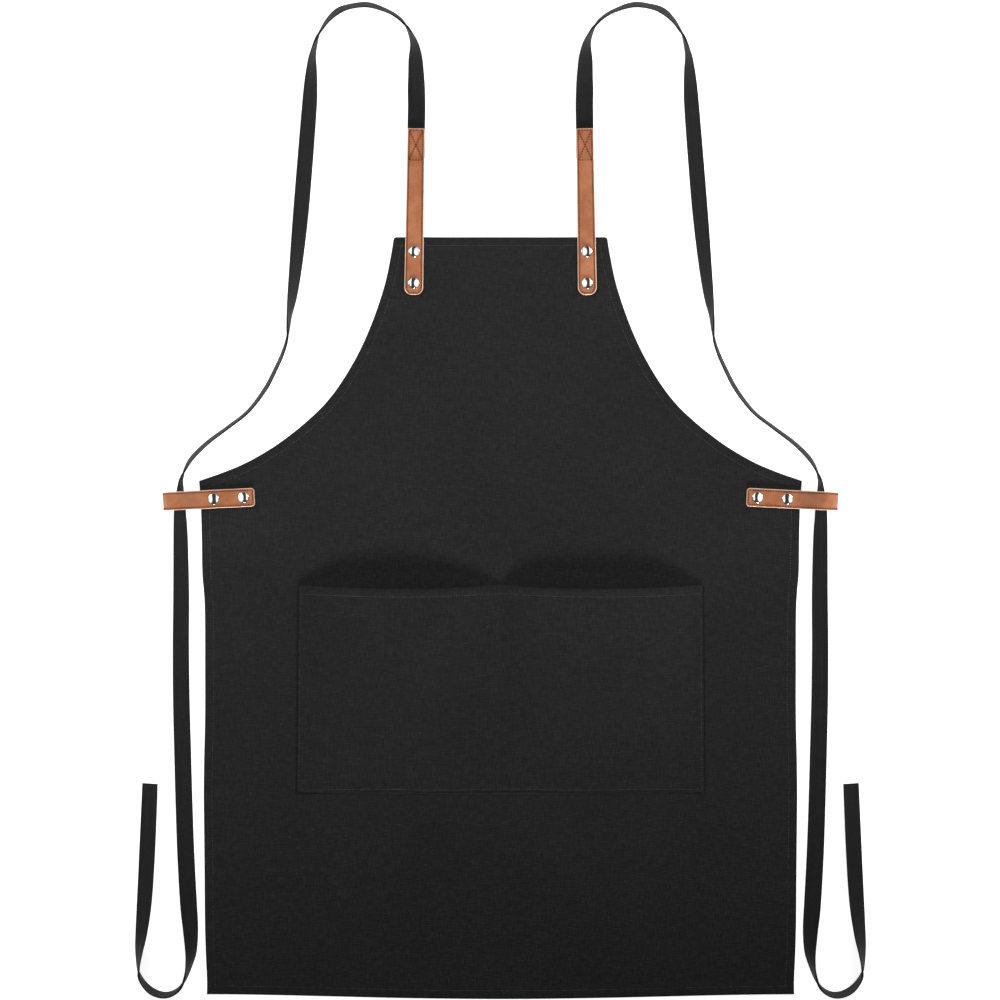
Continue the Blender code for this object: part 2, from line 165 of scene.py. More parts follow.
# Tape, as in the CAD: x, y, roll in degrees and lift off the floor, from under the tab to the free end
TAPE_WIDTH = 0.0200
TAPE_THICKNESS = 0.0012
TAPE_CLEARANCE = 0.0002
TAPE_ROUTE = (
    (-0.0962, 0.4610, 0, 0.0012),
    (-0.0961, 0.4860, 0, 0.0012),
    (-0.0960, 0.4982, 0, 0.0012),
    (-0.0957, 0.5208, -4, 0.0006),
    (-0.0960, 0.5388, -8, 0.0003),
    (-0.0962, 0.5536, -22, 0),
    (-0.0969, 0.5715, -34, 0),
    (-0.0973, 0.5803, -46, 0),
    (-0.0989, 0.5920, -65, 0),
    (-0.1044, 0.6056, -84, 0),
    (-0.1093, 0.6129, -94, 0),
    (-0.1154, 0.6194, -100, 0),
    (-0.1280, 0.6274, -104, 0),
    (-0.1507, 0.6349, -111, 0),
    (-0.1715, 0.6330, -111, 0),
    (-0.1854, 0.6277, -115, 0),
    (-0.1963, 0.6178, -108, 0),
    (-0.2030, 0.6083, -100, 0),
    (-0.2091, 0.5970, -89, 0),
    (-0.2140, 0.5774, -71, 0),
    (-0.2152, 0.5626, -56, 0),
    (-0.2163, 0.5450, -43, 0),
    (-0.2180, 0.5179, -33, 0),
    (-0.2227, 0.4582, -28, 0),
    (-0.2276, 0.3985, -29, 0),
    (-0.2332, 0.3387, -44, 0),
    (-0.2373, 0.3030, -59, 0),
    (-0.2408, 0.2792, -78, 0),
    (-0.2430, 0.2554, -94, 0),
    (-0.2481, 0.2381, -100, 0),
    (-0.2554, 0.2216, -102, 0),
    (-0.2678, 0.1976, -104, 0),
    (-0.2878, 0.1715, -101, 0),
    (-0.3110, 0.1532, -101, 0),
    (-0.3352, 0.1349, -104, 0),
    (-0.3538, 0.1156, -104, 0.0009),
    (-0.3628, 0.0966, -88, 0.0024),
    (-0.3645, 0.0848, -73, 0.0031),
    (-0.3650, 0.0680, -58, 0.0032),
    (-0.3650, 0.0500, -46, 0.0031),
    (-0.3644, 0.0249, -37, 0.0029),
    (-0.3639, -0.0351, -28, 0.0024),
    (-0.3643, -0.0950, -25, 0.0018),
    (-0.3639, -0.1550, -21, 0.0011),
    (-0.3625, -0.2149, -18, 0.0003),
    (-0.3609, -0.2749, -17, 0),
    (-0.3588, -0.3348, -15, 0),
    (-0.3557, -0.3910, -18, 0),
    (-0.3534, -0.4184, -32, 0),
    (-0.3527, -0.4422, -50, 0),
    (-0.3543, -0.4560, -66, 0),
    (-0.3581, -0.4714, -83, 0),
    (-0.3646, -0.4847, -95, 0),
    (-0.3755, -0.4922, -103, 0),
    (-0.3872, -0.4930, -107, 0),
    (-0.3998, -0.4872, -108, 0),
    (-0.4095, -0.4755, -98, 0),
    (-0.4127, -0.4637, -82, 0),
    (-0.4118, -0.4428, -61, 0),
    (-0.4093, -0.4221, -44, 0),
    (-0.4058, -0.3835, -27, 0),
    (-0.4026, -0.3237, -21, 0),
    (-0.3996, -0.2525, -24, 0),
)
TAPE_STEP = 0.0030
TAPE_HEM = 0.0055  # the free end is folded back this far

# Stitches: pitch, length and radius of the thread
TAPE_STITCHES = (0.0024, 0.0017, 0.00022)
HEM_STITCHES = (0.0031, 0.0023, 0.00024)
POCKET_STITCHES = (0.0030, 0.0022, 0.00024)
LEATHER_STITCHES = (0.0029, 0.0017, 0.00074)
STITCH_SINK = 0.00006


# ---------------------------------------------------------------- small helpers
def smooth(share):
    share = np.clip(share, 0.0, 1.0)
    return share * share * (3 - 2 * share)


def eased(share):
    """Rises steeply from 0 and settles into 1."""
    return 1 - (1 - np.clip(share, 0.0, 1.0)) ** 2


def dip(distance, width):
    """A soft groove: 1 where the distance is 0, almost 0 past twice the width."""
    return np.exp(-((distance / width) ** 2))


def unit(vectors):
    return vectors / (np.linalg.norm(vectors, axis=1)[:, None] + 1e-12)


def upright(points):
    """A line of points, with straight up as the way out of the surface at each."""
    return points, np.tile([0.0, 0.0, 1.0], (len(points), 1))


def bezier(p0, p1, p2, p3, count):
    """count points of a cubic curve in the plane."""
    t = np.linspace(0, 1, count)[:, None]
    p0, p1, p2, p3 = (np.array(p, float) for p in (p0, p1, p2, p3))
    return (1 - t) ** 3 * p0 + 3 * (1 - t) ** 2 * t * p1 + 3 * (1 - t) * t**2 * p2 + t**3 * p3


def arc_lengths(points):
    return np.concatenate([[0], np.cumsum(np.linalg.norm(np.diff(points, axis=0), axis=1))])


def even(points, step):
    """The polyline again, with its points an even distance apart."""
    points = np.asarray(points, float)
    at = arc_lengths(points)
    new = np.linspace(0, at[-1], max(2, round(at[-1] / step) + 1))
    return np.stack([np.interp(new, at, points[:, k]) for k in range(points.shape[1])], axis=1)


def waves(x, y, seed, scale):
    """A smooth random height field about -1 to 1, the same each run: a sum of turned sine waves."""
    draw = np.random.default_rng(seed)
    total, weight = np.zeros_like(x), 0.0
    for octave in range(2):
        for _ in range(5):
            angle, phase_x, phase_y = draw.uniform(0, 2 * np.pi, 3)
            turns = 2 * np.pi * 2**octave / scale * draw.uniform(0.7, 1.3)
            along = x * np.cos(angle) + y * np.sin(angle)
            across = -x * np.sin(angle) + y * np.cos(angle)
            height = np.sin(along * turns + phase_x + 0.8 * np.sin(across * turns * 0.6 + phase_y))
            total += height / 2**octave
            weight += 0.5 / 2**octave
    return total / weight / 1.6


def add_mesh(name, points, faces, material):
    mesh = bpy.data.meshes.new(name)
    mesh.from_pydata([tuple(p) for p in points], [], faces)
    mesh.materials.append(material)
    mesh.polygons.foreach_set("use_smooth", [True] * len(mesh.polygons))
    mesh.update()
    obj = bpy.data.objects.new(name, mesh)
    bpy.context.scene.collection.objects.link(obj)
    return obj


def grid_faces(rows, columns, start=0, flip=False):
    faces = []
    for i in range(rows - 1):
        for j in range(columns - 1):
            a = start + i * columns + j
            quad = (a, a + 1, a + columns + 1, a + columns)
            faces.append(quad[::-1] if flip else quad)
    return faces


def closed_sheet(name, top, bottom, material, shares=()):
    """A closed piece between two grids of points of shape (rows, columns, 3), which share their layout.
    Rows run up and columns to the right, as seen from outside the top. Each of shares is the name of an
    attribute, its values at the top's points, and its value for the rest of the piece."""
    rows, columns = top.shape[:2]
    count = rows * columns
    faces = grid_faces(rows, columns) + grid_faces(rows, columns, count, flip=True)
    index = np.arange(count).reshape(rows, columns)
    rim = [*index[0, :], *index[1:, -1], *index[-1, -2::-1], *index[-2:0:-1, 0]]
    for a, b in zip(rim, rim[1:] + rim[:1]):
        faces.append((int(b), int(a), int(a) + count, int(b) + count))
    points = np.concatenate([top.reshape(-1, 3), bottom.reshape(-1, 3)])
    obj = add_mesh(name, points, faces, material)
    obj.data.set_sharp_from_angle(angle=math.radians(60))
    for attribute, values, rest in shares:
        layer = obj.data.attributes.new(attribute, "FLOAT", "POINT")
        values = np.concatenate([values.ravel(), np.full(count, rest)]).astype(np.float32)
        layer.data.foreach_set("value", values)
    return obj


# ---------------------------------------------------------------- materials
class Shade:
    """A node tree and short ways to add nodes to it. An input takes a number, a colour or a socket."""

    def __init__(self, tree):
        self.nodes, self.links = tree.nodes, tree.links

    def connect(self, socket, value):
        if isinstance(value, bpy.types.NodeSocket):
            self.links.new(value, socket)
        elif socket.type == "RGBA":
            socket.default_value = (*value, 1.0)
        else:
            socket.default_value = value

    def fill(self, node, **inputs):
        """Sets a node's inputs by name, with _ for each space."""
        for name, value in inputs.items():
            self.connect(node.inputs[name.replace("_", " ")], value)
        return node

    def add(self, kind, **inputs):
        return self.fill(self.nodes.new(kind), **inputs)

    def place(self):
        return self.nodes.new("ShaderNodeTexCoord").outputs["Object"]

    def calc(self, operation, *values, clamp=False):
        node = self.nodes.new("ShaderNodeMath")
        node.operation = operation
        node.use_clamp = clamp
        for socket, value in zip(node.inputs, values):
            self.connect(socket, value)
        return node.outputs[0]

    def wave(self, value, pitch):
        """A sine that repeats once a pitch."""
        return self.calc("SINE", self.calc("MULTIPLY", value, 2 * math.pi / pitch))

    def rise(self, value, low, high):
        """0 at low, 1 at high, and a smooth step between."""
        node = self.add("ShaderNodeMapRange", Value=value, From_Min=low, From_Max=high)
        node.interpolation_type = "SMOOTHSTEP"
        return node.outputs["Result"]

    def ramp(self, factor, *stops):
        node = self.add("ShaderNodeValToRGB", Fac=factor)
        elements = node.color_ramp.elements
        while len(elements) < len(stops):
            elements.new(0.5)
        for element, (position, colour) in zip(elements, stops):
            element.position = position
            element.color = (*colour, 1.0)
        return node.outputs["Color"]

    def noise(self, vector, scale, detail=2.0, roughness=0.5):
        node = self.add("ShaderNodeTexNoise", Vector=vector, Scale=scale)
        self.fill(node, Detail=detail, Roughness=roughness)
        return node.outputs["Fac"]

    def stretched_noise(self, place, scale):
        """Noise drawn out along the axes whose scale is small."""
        mapping = self.add("ShaderNodeMapping", Vector=place, Scale=scale)
        return self.noise(mapping.outputs["Vector"], 1.0)

    def mix(self, factor, first, second, blend_type="MIX"):
        node = self.nodes.new("ShaderNodeMix")
        node.data_type = "RGBA"
        node.blend_type = blend_type
        for at, value in ((0, factor), (6, first), (7, second)):
            self.connect(node.inputs[at], value)
        return node.outputs[2]

    def bumps(self, shader, *heights):
        """Chains bumps of (height, distance in metres, strength) into the shader's normal."""
        normal = None
        for height, distance, strength in heights:
            node = self.add("ShaderNodeBump", Height=height, Distance=distance, Strength=strength)
            if normal:
                self.links.new(normal, node.inputs["Normal"])
            normal = node.outputs["Normal"]
        self.links.new(normal, shader.inputs["Normal"])


def new_material(name):
    """A material, the Shade of its tree and its shader."""
    material = bpy.data.materials.new(name)
    material.use_nodes = True
    shade = Shade(material.node_tree)
    return material, shade, shade.nodes["Principled BSDF"]


def canvas_material():
    """Black cotton canvas: uneven slubby threads both ways, paler specks of lint, faint wear."""
    material, shade, shader = new_material("black_canvas")
    place = shade.place()
    warp = shade.stretched_noise(place, (1000, 110, 110))
    weft = shade.stretched_noise(place, (110, 1000, 110))
    threads = shade.calc("MULTIPLY", shade.calc("ADD", warp, weft), 0.5)
    wear = shade.ramp(shade.noise(place, 7.0, 3.0), (0.25, (0.88,) * 3), (0.75, (1.12,) * 3))
    specks = shade.calc("SUBTRACT", shade.noise(place, 520.0, 1.0), 0.70)
    lint = shade.calc("MULTIPLY", specks, 5.0, clamp=True)
    base = shade.ramp(threads, (0.36, CANVAS_DARK), (0.51, CANVAS), (0.66, CANVAS_PALE))
    base = shade.mix(1.0, base, wear, "MULTIPLY")
    base = shade.mix(lint, base, (0.040, 0.040, 0.041))
    rough = shade.calc("MULTIPLY_ADD", shade.noise(place, 60.0), 0.12, 0.58)
    shade.fill(shader, Base_Color=base, Roughness=rough, Specular_IOR_Level=0.10, Sheen_Weight=0.02,
               Sheen_Roughness=0.50)
    split = shade.add("ShaderNodeSeparateXYZ", Vector=place)
    ridges = [shade.wave(split.outputs[axis], CANVAS_PITCH) for axis in "XY"]
    shade.bumps(
        shader,
        (shade.calc("MULTIPLY", *ridges), 0.00012, 0.45),
        (threads, 0.00035, 0.55),
        (shade.noise(place, 90.0, 3.0), 0.0010, 0.25),
    )
    return material


def tape_material():
    """Black cotton tape: a fine herringbone in two bands each way from the middle, and tight selvedges.
    The UV map holds metres: across the tape from its middle, and along it."""
    material, shade, shader = new_material("black_tape")
    uv = shade.nodes.new("ShaderNodeUVMap")
    uv.uv_map = "tape"
    split = shade.add("ShaderNodeSeparateXYZ", Vector=uv.outputs["UV"])
    across, along = split.outputs["X"], split.outputs["Y"]
    band = shade.calc("PINGPONG", across, TAPE_WIDTH / 4)
    ridges = shade.wave(shade.calc("MULTIPLY_ADD", band, 1.15, along), 0.00150)
    picks = shade.wave(across, 0.00080)
    from_edge = shade.calc("SUBTRACT", TAPE_WIDTH / 2, shade.calc("ABSOLUTE", across))
    inside = shade.calc("GREATER_THAN", from_edge, 0.0014)
    weave = shade.calc("MULTIPLY", ridges, inside)
    fibres = shade.noise(shade.place(), 700.0)
    tone = shade.calc("MULTIPLY_ADD", weave, 0.14, fibres)
    base = shade.ramp(tone, (0.25, TAPE_DARK), (0.55, TAPE), (0.85, TAPE_PALE))
    base = shade.mix(shade.calc("MULTIPLY_ADD", inside, -0.35, 0.35), base, TAPE_DARK)
    shade.fill(shader, Base_Color=base, Roughness=0.60, Specular_IOR_Level=0.10, Sheen_Weight=0.02)
    shade.bumps(shader, (weave, 0.00022, 0.8), (picks, 0.00008, 0.4), (fibres, 0.00020, 0.5))
    return material


def leather_material(name, dark, middle, pale, rim=None, pressed_and_groove_shade=None):
    """Vegetable-tanned leather: cloudy dye, pores and a fine pebbled grain. Where given, a pale rim colour
    shows at the raw cut edge and as a painted highlight on the face's rounded edge (the mesh's "rim"
    attribute), and a dark colour along the sewn rows is compressed leather plus painted shade in their
    grooves ("seam")."""
    material, shade, shader = new_material(name)
    place = shade.place()
    cloud = shade.noise(place, 55.0, 4.0, 0.6)
    fine = shade.noise(place, 900.0, 3.0, 0.6)
    cells = shade.add("ShaderNodeTexVoronoi", Vector=place, Scale=1500.0).outputs["Distance"]
    tone = shade.calc("MULTIPLY_ADD", shade.calc("SUBTRACT", fine, 0.5), 0.35, cloud)
    pores = shade.calc("GREATER_THAN", shade.noise(place, 1300.0, 0.0), 0.72)
    base = shade.ramp(tone, (0.28, dark), (0.50, middle), (0.74, pale))
    base = shade.mix(shade.calc("MULTIPLY", pores, 0.45), base, dark)
    # seam: compressed leather plus painted shade in the stitch grooves; rim: pale cut edge plus a painted
    # highlight
    for layer, share, colour in (("seam", 0.42, pressed_and_groove_shade), ("rim", 0.90, rim)):
        if colour:
            attribute = shade.nodes.new("ShaderNodeAttribute")
            attribute.attribute_name = layer
            base = shade.mix(shade.calc("MULTIPLY", attribute.outputs["Fac"], share), base, colour)
    rough = shade.calc("MULTIPLY_ADD", cloud, 0.30, 0.36)
    shade.fill(shader, Base_Color=base, Roughness=rough, Specular_IOR_Level=0.36)
    shade.bumps(shader, (cells, 0.00010, 0.30), (fine, 0.00018, 0.35), (cloud, 0.0008, 0.30))
    return material


def thread_material(name, dark, pale):
    """Twisted thread: short diagonal plies, some stitches paler and more worn than others, a soft gloss."""
    material, shade, shader = new_material(name)
    place = shade.place()
    split = shade.add("ShaderNodeSeparateXYZ", Vector=place)
    ply = shade.wave(shade.calc("ADD", split.outputs["X"], split.outputs["Y"]), 0.0006)
    tone = shade.calc("MULTIPLY_ADD", ply, 0.08, shade.noise(place, 330.0, 1.0))
    base = shade.ramp(tone, (0.35, dark), (0.68, pale))
    shade.fill(shader, Base_Color=base, Roughness=0.60, Specular_IOR_Level=0.18)
    shade.bumps(shader, (ply, 0.00008, 0.5), (shade.noise(place, 1500.0), 0.00006, 0.4))
    return material


def chrome_material():
    """Bright plated steel with faint polishing marks and a little haze."""
    material, shade, shader = new_material("bright_plating")
    place = shade.place()
    haze = shade.noise(place, 420.0, 3.0)
    base = shade.ramp(haze, (0.3, (0.84, 0.83, 0.81)), (0.7, (0.94, 0.93, 0.91)))
    rough = shade.calc("MULTIPLY_ADD", haze, 0.08, 0.02)
    shade.fill(shader, Base_Color=base, Metallic=1.0, Roughness=rough)
    marks = shade.stretched_noise(place, (3000, 260, 260))
    shade.bumps(shader, (marks, 0.00002, 0.15), (haze, 0.00008, 0.10))
    return material


def floor_material():
    material, shade, shader = new_material("pale_floor")
    base = shade.ramp(shade.noise(shade.place(), 3.0), (0.3, (0.90,) * 3), (0.7, (0.92,) * 3))
    shade.fill(shader, Base_Color=base, Roughness=0.9, Specular_IOR_Level=0.1,
               Emission_Color=(1.0, 1.0, 1.0), Emission_Strength=0.70)
    return material


CANVAS_PITCH = 0.00110
CANVAS_DARK, CANVAS, CANVAS_PALE = (0.0058,) * 3, (0.0099,) * 3, (0.0158,) * 3
TAPE_DARK, TAPE, TAPE_PALE = (0.0055,) * 3, (0.0100,) * 3, (0.0175,) * 3
canvas = canvas_material()
tape_weave = tape_material()
# rim colour: pale cut edge plus a painted highlight; sewn-row colour: compressed leather plus painted
# groove shade
leather = leather_material(
    "tan_leather", (0.220, 0.070, 0.025), (0.300, 0.105, 0.041), (0.360, 0.146, 0.069),
    rim=(0.72, 0.52, 0.40), pressed_and_groove_shade=(0.150, 0.035, 0.010))
raw_leather = leather_material("raw_leather", (0.50, 0.34, 0.25), (0.60, 0.43, 0.33), (0.70, 0.53, 0.42))
cloth_thread = thread_material("black_thread", (0.010,) * 3, (0.085,) * 3)
rust_thread = thread_material("rust_thread", (0.065, 0.012, 0.003), (0.130, 0.026, 0.006))
chrome = chrome_material()


# ---------------------------------------------------------------- stage, light and camera
def make_stage():
    bpy.ops.mesh.primitive_plane_add(size=9, location=(0, 0, -0.0004))
    floor = bpy.context.object
    floor.name = "floor"
    floor.data.materials.append(floor_material())


def area_light(name, location, size, power, aim, spread=180):
    data = bpy.data.lights.new(name, "AREA")
    data.shape = "RECTANGLE"
    data.size, data.size_y = size
    data.energy = power
    data.spread = math.radians(spread)
    light = bpy.data.objects.new(name, data)
    bpy.context.scene.collection.objects.link(light)
    light.location = location
    toward = Vector(aim) - light.location
    light.rotation_euler = toward.to_track_quat("-Z", "Y").to_euler()


def make_room():
    """A dim room with a tall soft light on each side, and a dark strip overhead between them."""
    world = bpy.data.worlds.new("soft_room")
    bpy.context.scene.world = world
    world.use_nodes = True
    shade = Shade(world.node_tree)
    direction = shade.nodes.new("ShaderNodeTexCoord").outputs["Generated"]
    split = shade.add("ShaderNodeSeparateXYZ", Vector=direction)
    beside = shade.calc("ABSOLUTE", split.outputs["X"])
    boxes = shade.calc("MULTIPLY", shade.rise(beside, 0.20, 0.30), shade.rise(beside, 0.66, 0.56))
    boxes = shade.calc("MULTIPLY", boxes, shade.rise(split.outputs["Z"], 0.20, 0.40))
    boxes = shade.calc("MULTIPLY", boxes, shade.rise(split.outputs["Y"], -0.45, -0.30))
    strength = shade.calc("MULTIPLY_ADD", boxes, 1.20, 0.05)
    shade.fill(shade.nodes["Background"], Color=(1.0, 1.0, 1.0), Strength=strength)


def make_lights():
    make_room()
    area_light("left_key", (-0.85, 0.54, 0.56), (0.5, 0.5), 7.0, aim=(-0.05, 0.15, 0))
    area_light("right_key", (0.85, 0.54, 0.56), (0.5, 0.5), 7.0, aim=(0.05, 0.15, 0))
    area_light("low_front", (0.20, -1.25, 0.50), (1.5, 0.36), 3.2, aim=(0, 0.33, 0), spread=17)
    bpy.context.scene.view_settings.view_transform = "Standard"


FRAME_WIDTH = 1.141  # metres across the picture, at the floor
FRAME_CENTRE = (-0.0006, 0.0707)


def make_camera():
    data = bpy.data.cameras.new("camera")
    data.lens = 200
    data.sensor_width = 36
    camera = bpy.data.objects.new("camera", data)
    bpy.context.scene.collection.objects.link(camera)
    camera.location = (*FRAME_CENTRE, FRAME_WIDTH * data.lens / data.sensor_width)
    bpy.context.scene.camera = camera


# ---------------------------------------------------------------- tapes
def smooth_route(route, step):
    """Catmull-Rom through the route's points, then evened out. Columns are the route's own."""
    route = np.array(route, float)
    padded = np.concatenate([route[:1], route, route[-1:]])
    spans = []
    for p0, p1, p2, p3 in zip(padded, padded[1:], padded[2:], padded[3:]):
        t = np.linspace(0, 1, 16, endpoint=False)[:, None]
        spans.append(0.5 * (2 * p1 + (p2 - p0) * t + (2 * p0 - 5 * p1 + 4 * p2 - p3) * t**2
                            + (3 * p1 - p0 - 3 * p2 + p3) * t**3))
    points = np.concatenate([*spans, route[-1:]])
    at = arc_lengths(points[:, :2])
    new = np.linspace(0, at[-1], round(at[-1] / step) + 1)
    return np.stack([np.interp(new, at, points[:, k]) for k in range(points.shape[1])], axis=1)


def tape_frames(side):
    """Middle, half-width direction and normal at each station of a side's tape."""
    samples = smooth_route(TAPE_ROUTE, TAPE_STEP)
    x, y, roll, lift = samples.T
    along = unit(np.gradient(samples[:, :2], axis=0))
    roll = np.radians(roll)
    sine, cosine = np.sin(roll), np.cos(roll)
    z = lift + np.abs(sine) * TAPE_WIDTH / 2 + np.abs(cosine) * TAPE_THICKNESS / 2 + TAPE_CLEARANCE
    middle = np.stack([x, y, z], axis=1)
    across = np.stack([along[:, 1] * cosine, -along[:, 0] * cosine, -sine], axis=1)
    normal = unit(np.cross(across, unit(np.gradient(middle, axis=0))))
    for vectors in (middle, across, normal):
        vectors[:, 0] *= -side
    return middle, across, normal


def tape_section():
    """(across, up) of the tape's outline, once round: flat faces, full selvedges."""
    half, thick = TAPE_WIDTH / 2, TAPE_THICKNESS / 2
    face = [(-0.94, 1.0), (-0.86, 0.86), (-0.5, 0.90), (0.0, 0.92), (0.5, 0.90), (0.86, 0.86), (0.94, 1.0)]
    upper = [(a * half, b * thick) for a, b in face] + [(0.985 * half, 0.62 * thick), (half, 0.0)]
    lower = [(-a, -b) for a, b in upper]
    return upper + lower


def make_tape(prefix, side):
    middle, across, normal = tape_frames(side)
    section = np.array(tape_section())
    at = arc_lengths(middle)
    stations, ring = len(middle), len(section)

    # the free end is folded back and sewn, so it is thicker
    from_end = at[-1] - at
    swell = 1.0 + 0.75 * smooth((TAPE_HEM - from_end) / 0.0012 + 0.5)
    # where it twists on edge the cloth cups, which makes it fuller
    swell += 1.3 * smooth(1 - np.abs(normal[:, 2]) / 0.30)
    points = (middle[:, None, :] + across[:, None, :] * section[None, :, :1]
              + normal[:, None, :] * section[None, :, 1:] * swell[:, None, None])
    faces = []
    for i in range(stations - 1):
        for j in range(ring):
            a, b = i * ring + j, i * ring + (j + 1) % ring
            faces.append((a, b, b + ring, a + ring))
    faces.append(tuple(range(ring - 1, -1, -1)))
    faces.append(tuple(range((stations - 1) * ring, stations * ring)))
    if side < 0:
        faces = [face[::-1] for face in faces]
    tape = add_mesh(f"{prefix}_tape", points.reshape(-1, 3), faces, tape_weave)
    tape.data.set_sharp_from_angle(angle=math.radians(55))
    layer = tape.data.uv_layers.new(name="tape")
    corner_vertex = np.zeros(len(tape.data.loops), np.int32)
    tape.data.loops.foreach_get("vertex_index", corner_vertex)
    uv = np.stack([section[corner_vertex % ring, 0], at[corner_vertex // ring]], axis=1)
    layer.uv.foreach_set("vector", uv.astype(np.float32).ravel())

    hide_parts(f"{prefix}_neck_tape", f"{prefix}_waist_tie")
    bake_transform(tape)

    row = np.linspace(-0.86, 0.86, 24) * TAPE_WIDTH / 2
    hem_at = stations - 1 - round((TAPE_HEM - 0.0012) / TAPE_STEP)
    line = middle[hem_at] + across[hem_at] * row[:, None] + normal[hem_at] * TAPE_THICKNESS * 0.85
    ups = np.repeat(normal[hem_at][None], len(line), axis=0)
    stitches = make_stitches(f"{prefix}_tape_end_stitches", [(line, ups)], TAPE_STITCHES, cloth_thread)
    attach(stitches, f"{prefix}_tie")


# ---------------------------------------------------------------- stitches
def make_stitches(name, lines, size, material):
    """Raised stitches along lines of (points, unit ups): each a short arched run of thread."""
    pitch, length, radius = size
    ring, shares = 6, np.array([0.0, 0.16, 0.5, 0.84, 1.0])
    fat = np.array([0.45, 0.92, 1.0, 0.92, 0.45]) * radius
    rise = np.array([-1.1, 0.15, 0.55, 0.15, -1.1]) * radius - STITCH_SINK
    turn = np.arange(ring) * 2 * np.pi / ring
    points, faces = [], []
    for line, ups in lines:
        line, ups = np.asarray(line, float), np.asarray(ups, float)
        at = arc_lengths(line)
        count = max(1, int(at[-1] / pitch))
        starts = (np.arange(count) + 0.5) * at[-1] / count - length / 2
        for start in starts:
            here = np.clip(start + shares * length, 0, at[-1])
            centre = np.stack([np.interp(here, at, line[:, k]) for k in range(3)], axis=1)
            up = np.stack([np.interp(here, at, ups[:, k]) for k in range(3)], axis=1)
            ahead = centre[-1] - centre[0]
            ahead /= np.linalg.norm(ahead) + 1e-12
            beside = unit(np.cross(ahead, up))
            centre = centre + up * rise[:, None]
            rings = (centre[:, None, :]
                     + beside[:, None, :] * (np.cos(turn) * fat[:, None])[:, :, None]
                     + up[:, None, :] * (np.sin(turn) * fat[:, None])[:, :, None])
            base = len(points) * ring * len(shares)
            points.append(rings.reshape(-1, 3))
            for i in range(len(shares) - 1):
                for j in range(ring):
                    a, b = base + i * ring + j, base + i * ring + (j + 1) % ring
                    faces.append((a, b, b + ring, a + ring))
            faces.append(tuple(base + j for j in range(ring - 1, -1, -1)))
            faces.append(tuple(base + (len(shares) - 1) * ring + j for j in range(ring)))
    return add_mesh(name, np.concatenate(points), faces, material)


# ---------------------------------------------------------------- panel
CORNER = PANEL_OUTLINE.index(WAIST_CORNER)
ARMHOLE = smooth_route(PANEL_OUTLINE[:CORNER + 1], 0.001)
SKIRT_SIDE = smooth_route(PANEL_OUTLINE[CORNER:], 0.001)


def side_half(y):
    """Half width of the skirt, from waist to hem."""
    return np.interp(y, SKIRT_SIDE[::-1, 1], SKIRT_SIDE[::-1, 0])


def armhole_inset(inset):
    """(x, y) of the armhole moved in by a distance, carried straight on past both ends."""
    along = unit(np.gradient(ARMHOLE, axis=0))
    moved = ARMHOLE + np.stack([along[:, 1], -along[:, 0]], axis=1) * inset
    first, last = moved[0] - along[0] * 0.05, moved[-1] + along[-1] * 0.10
    return np.concatenate([[first], moved, [last]])


def half_width(y, inset=0.0):
    """Half width of the panel at heights y, moved in from its edge by a distance."""
    curve = armhole_inset(inset)
    armhole = np.interp(y, curve[::-1, 1], curve[::-1, 0])
    return np.minimum(armhole, side_half(y) - inset)


def hem_line(inset):
    """The panel's edge on the right, moved in, from the bib's top down to the hem."""
    bib, skirt = np.linspace(BIB_TOP - inset, WAIST, 500), np.linspace(WAIST, HEM_Y + inset, 300)
    y = np.concatenate([bib, skirt[1:]])
    return even(np.stack([half_width(y, inset), y], axis=1), 0.002)


EDGE = hem_line(0.0)
EDGE_AT = arc_lengths(EDGE)


def edge_distance(x, y):
    """How far points are from the panel's edge, and how far along the edge the nearest point is."""
    px, py = np.abs(np.asarray(x, float)).ravel(), np.asarray(y, float).ravel()
    distance, along = np.empty(len(px)), np.empty(len(px))
    for start in range(0, len(px), 4000):
        part = slice(start, start + 4000)
        gap = (px[part, None] - EDGE[None, :, 0]) ** 2 + (py[part, None] - EDGE[None, :, 1]) ** 2
        nearest = gap.argmin(axis=1)
        distance[part] = np.sqrt(gap[np.arange(len(nearest)), nearest])
        along[part] = EDGE_AT[nearest]
    top, low = BIB_TOP - py, py - HEM_Y
    along = np.where(top < np.minimum(distance, low), px, along)
    along = np.where(low < np.minimum(distance, top), px + 0.3, along)
    distance = np.minimum(distance, np.minimum(top, low))
    return distance.reshape(np.shape(x)), along.reshape(np.shape(x))


def outside(x, y, box):
    """How far places are from a box of (x low, x high, y low, y high) on their side of the apron."""
    x_low, x_high, y_low, y_high = box
    past_x = np.maximum(np.maximum(x_low - np.abs(x), np.abs(x) - x_high), 0)
    past_y = np.maximum(np.maximum(y_low - y, y - y_high), 0)
    return np.hypot(past_x, past_y)


def panel_lift(x, y):
    """Height of the panel's underside over the back caps and back legs."""
    lift = np.zeros_like(x)
    for box, height, run_out in RAISED_PATCHES:
        lift = np.maximum(lift, height * smooth(1 - outside(x, y, box) / run_out))
    return lift


def panel_rolls(x, y):
    """Slow rises of the cloth off the floor, calm under the leather and the pocket."""
    pocket_box = (0, POCKET_BOTTOM_HALF, POCKET_BOTTOM, POCKET_TOP)
    calm = smooth((outside(x, y, pocket_box) - 0.004) / 0.06)
    for box, _, _ in RAISED_PATCHES:
        calm = np.minimum(calm, smooth((outside(x, y, box) - 0.012) / 0.05))
    swell = 0.5 + 0.5 * waves(x, y, 4, 0.34)
    ripple = 0.5 + 0.5 * waves(x, y, 9, 0.11)
    return calm * (0.0016 * smooth(swell) + 0.00035 * ripple)


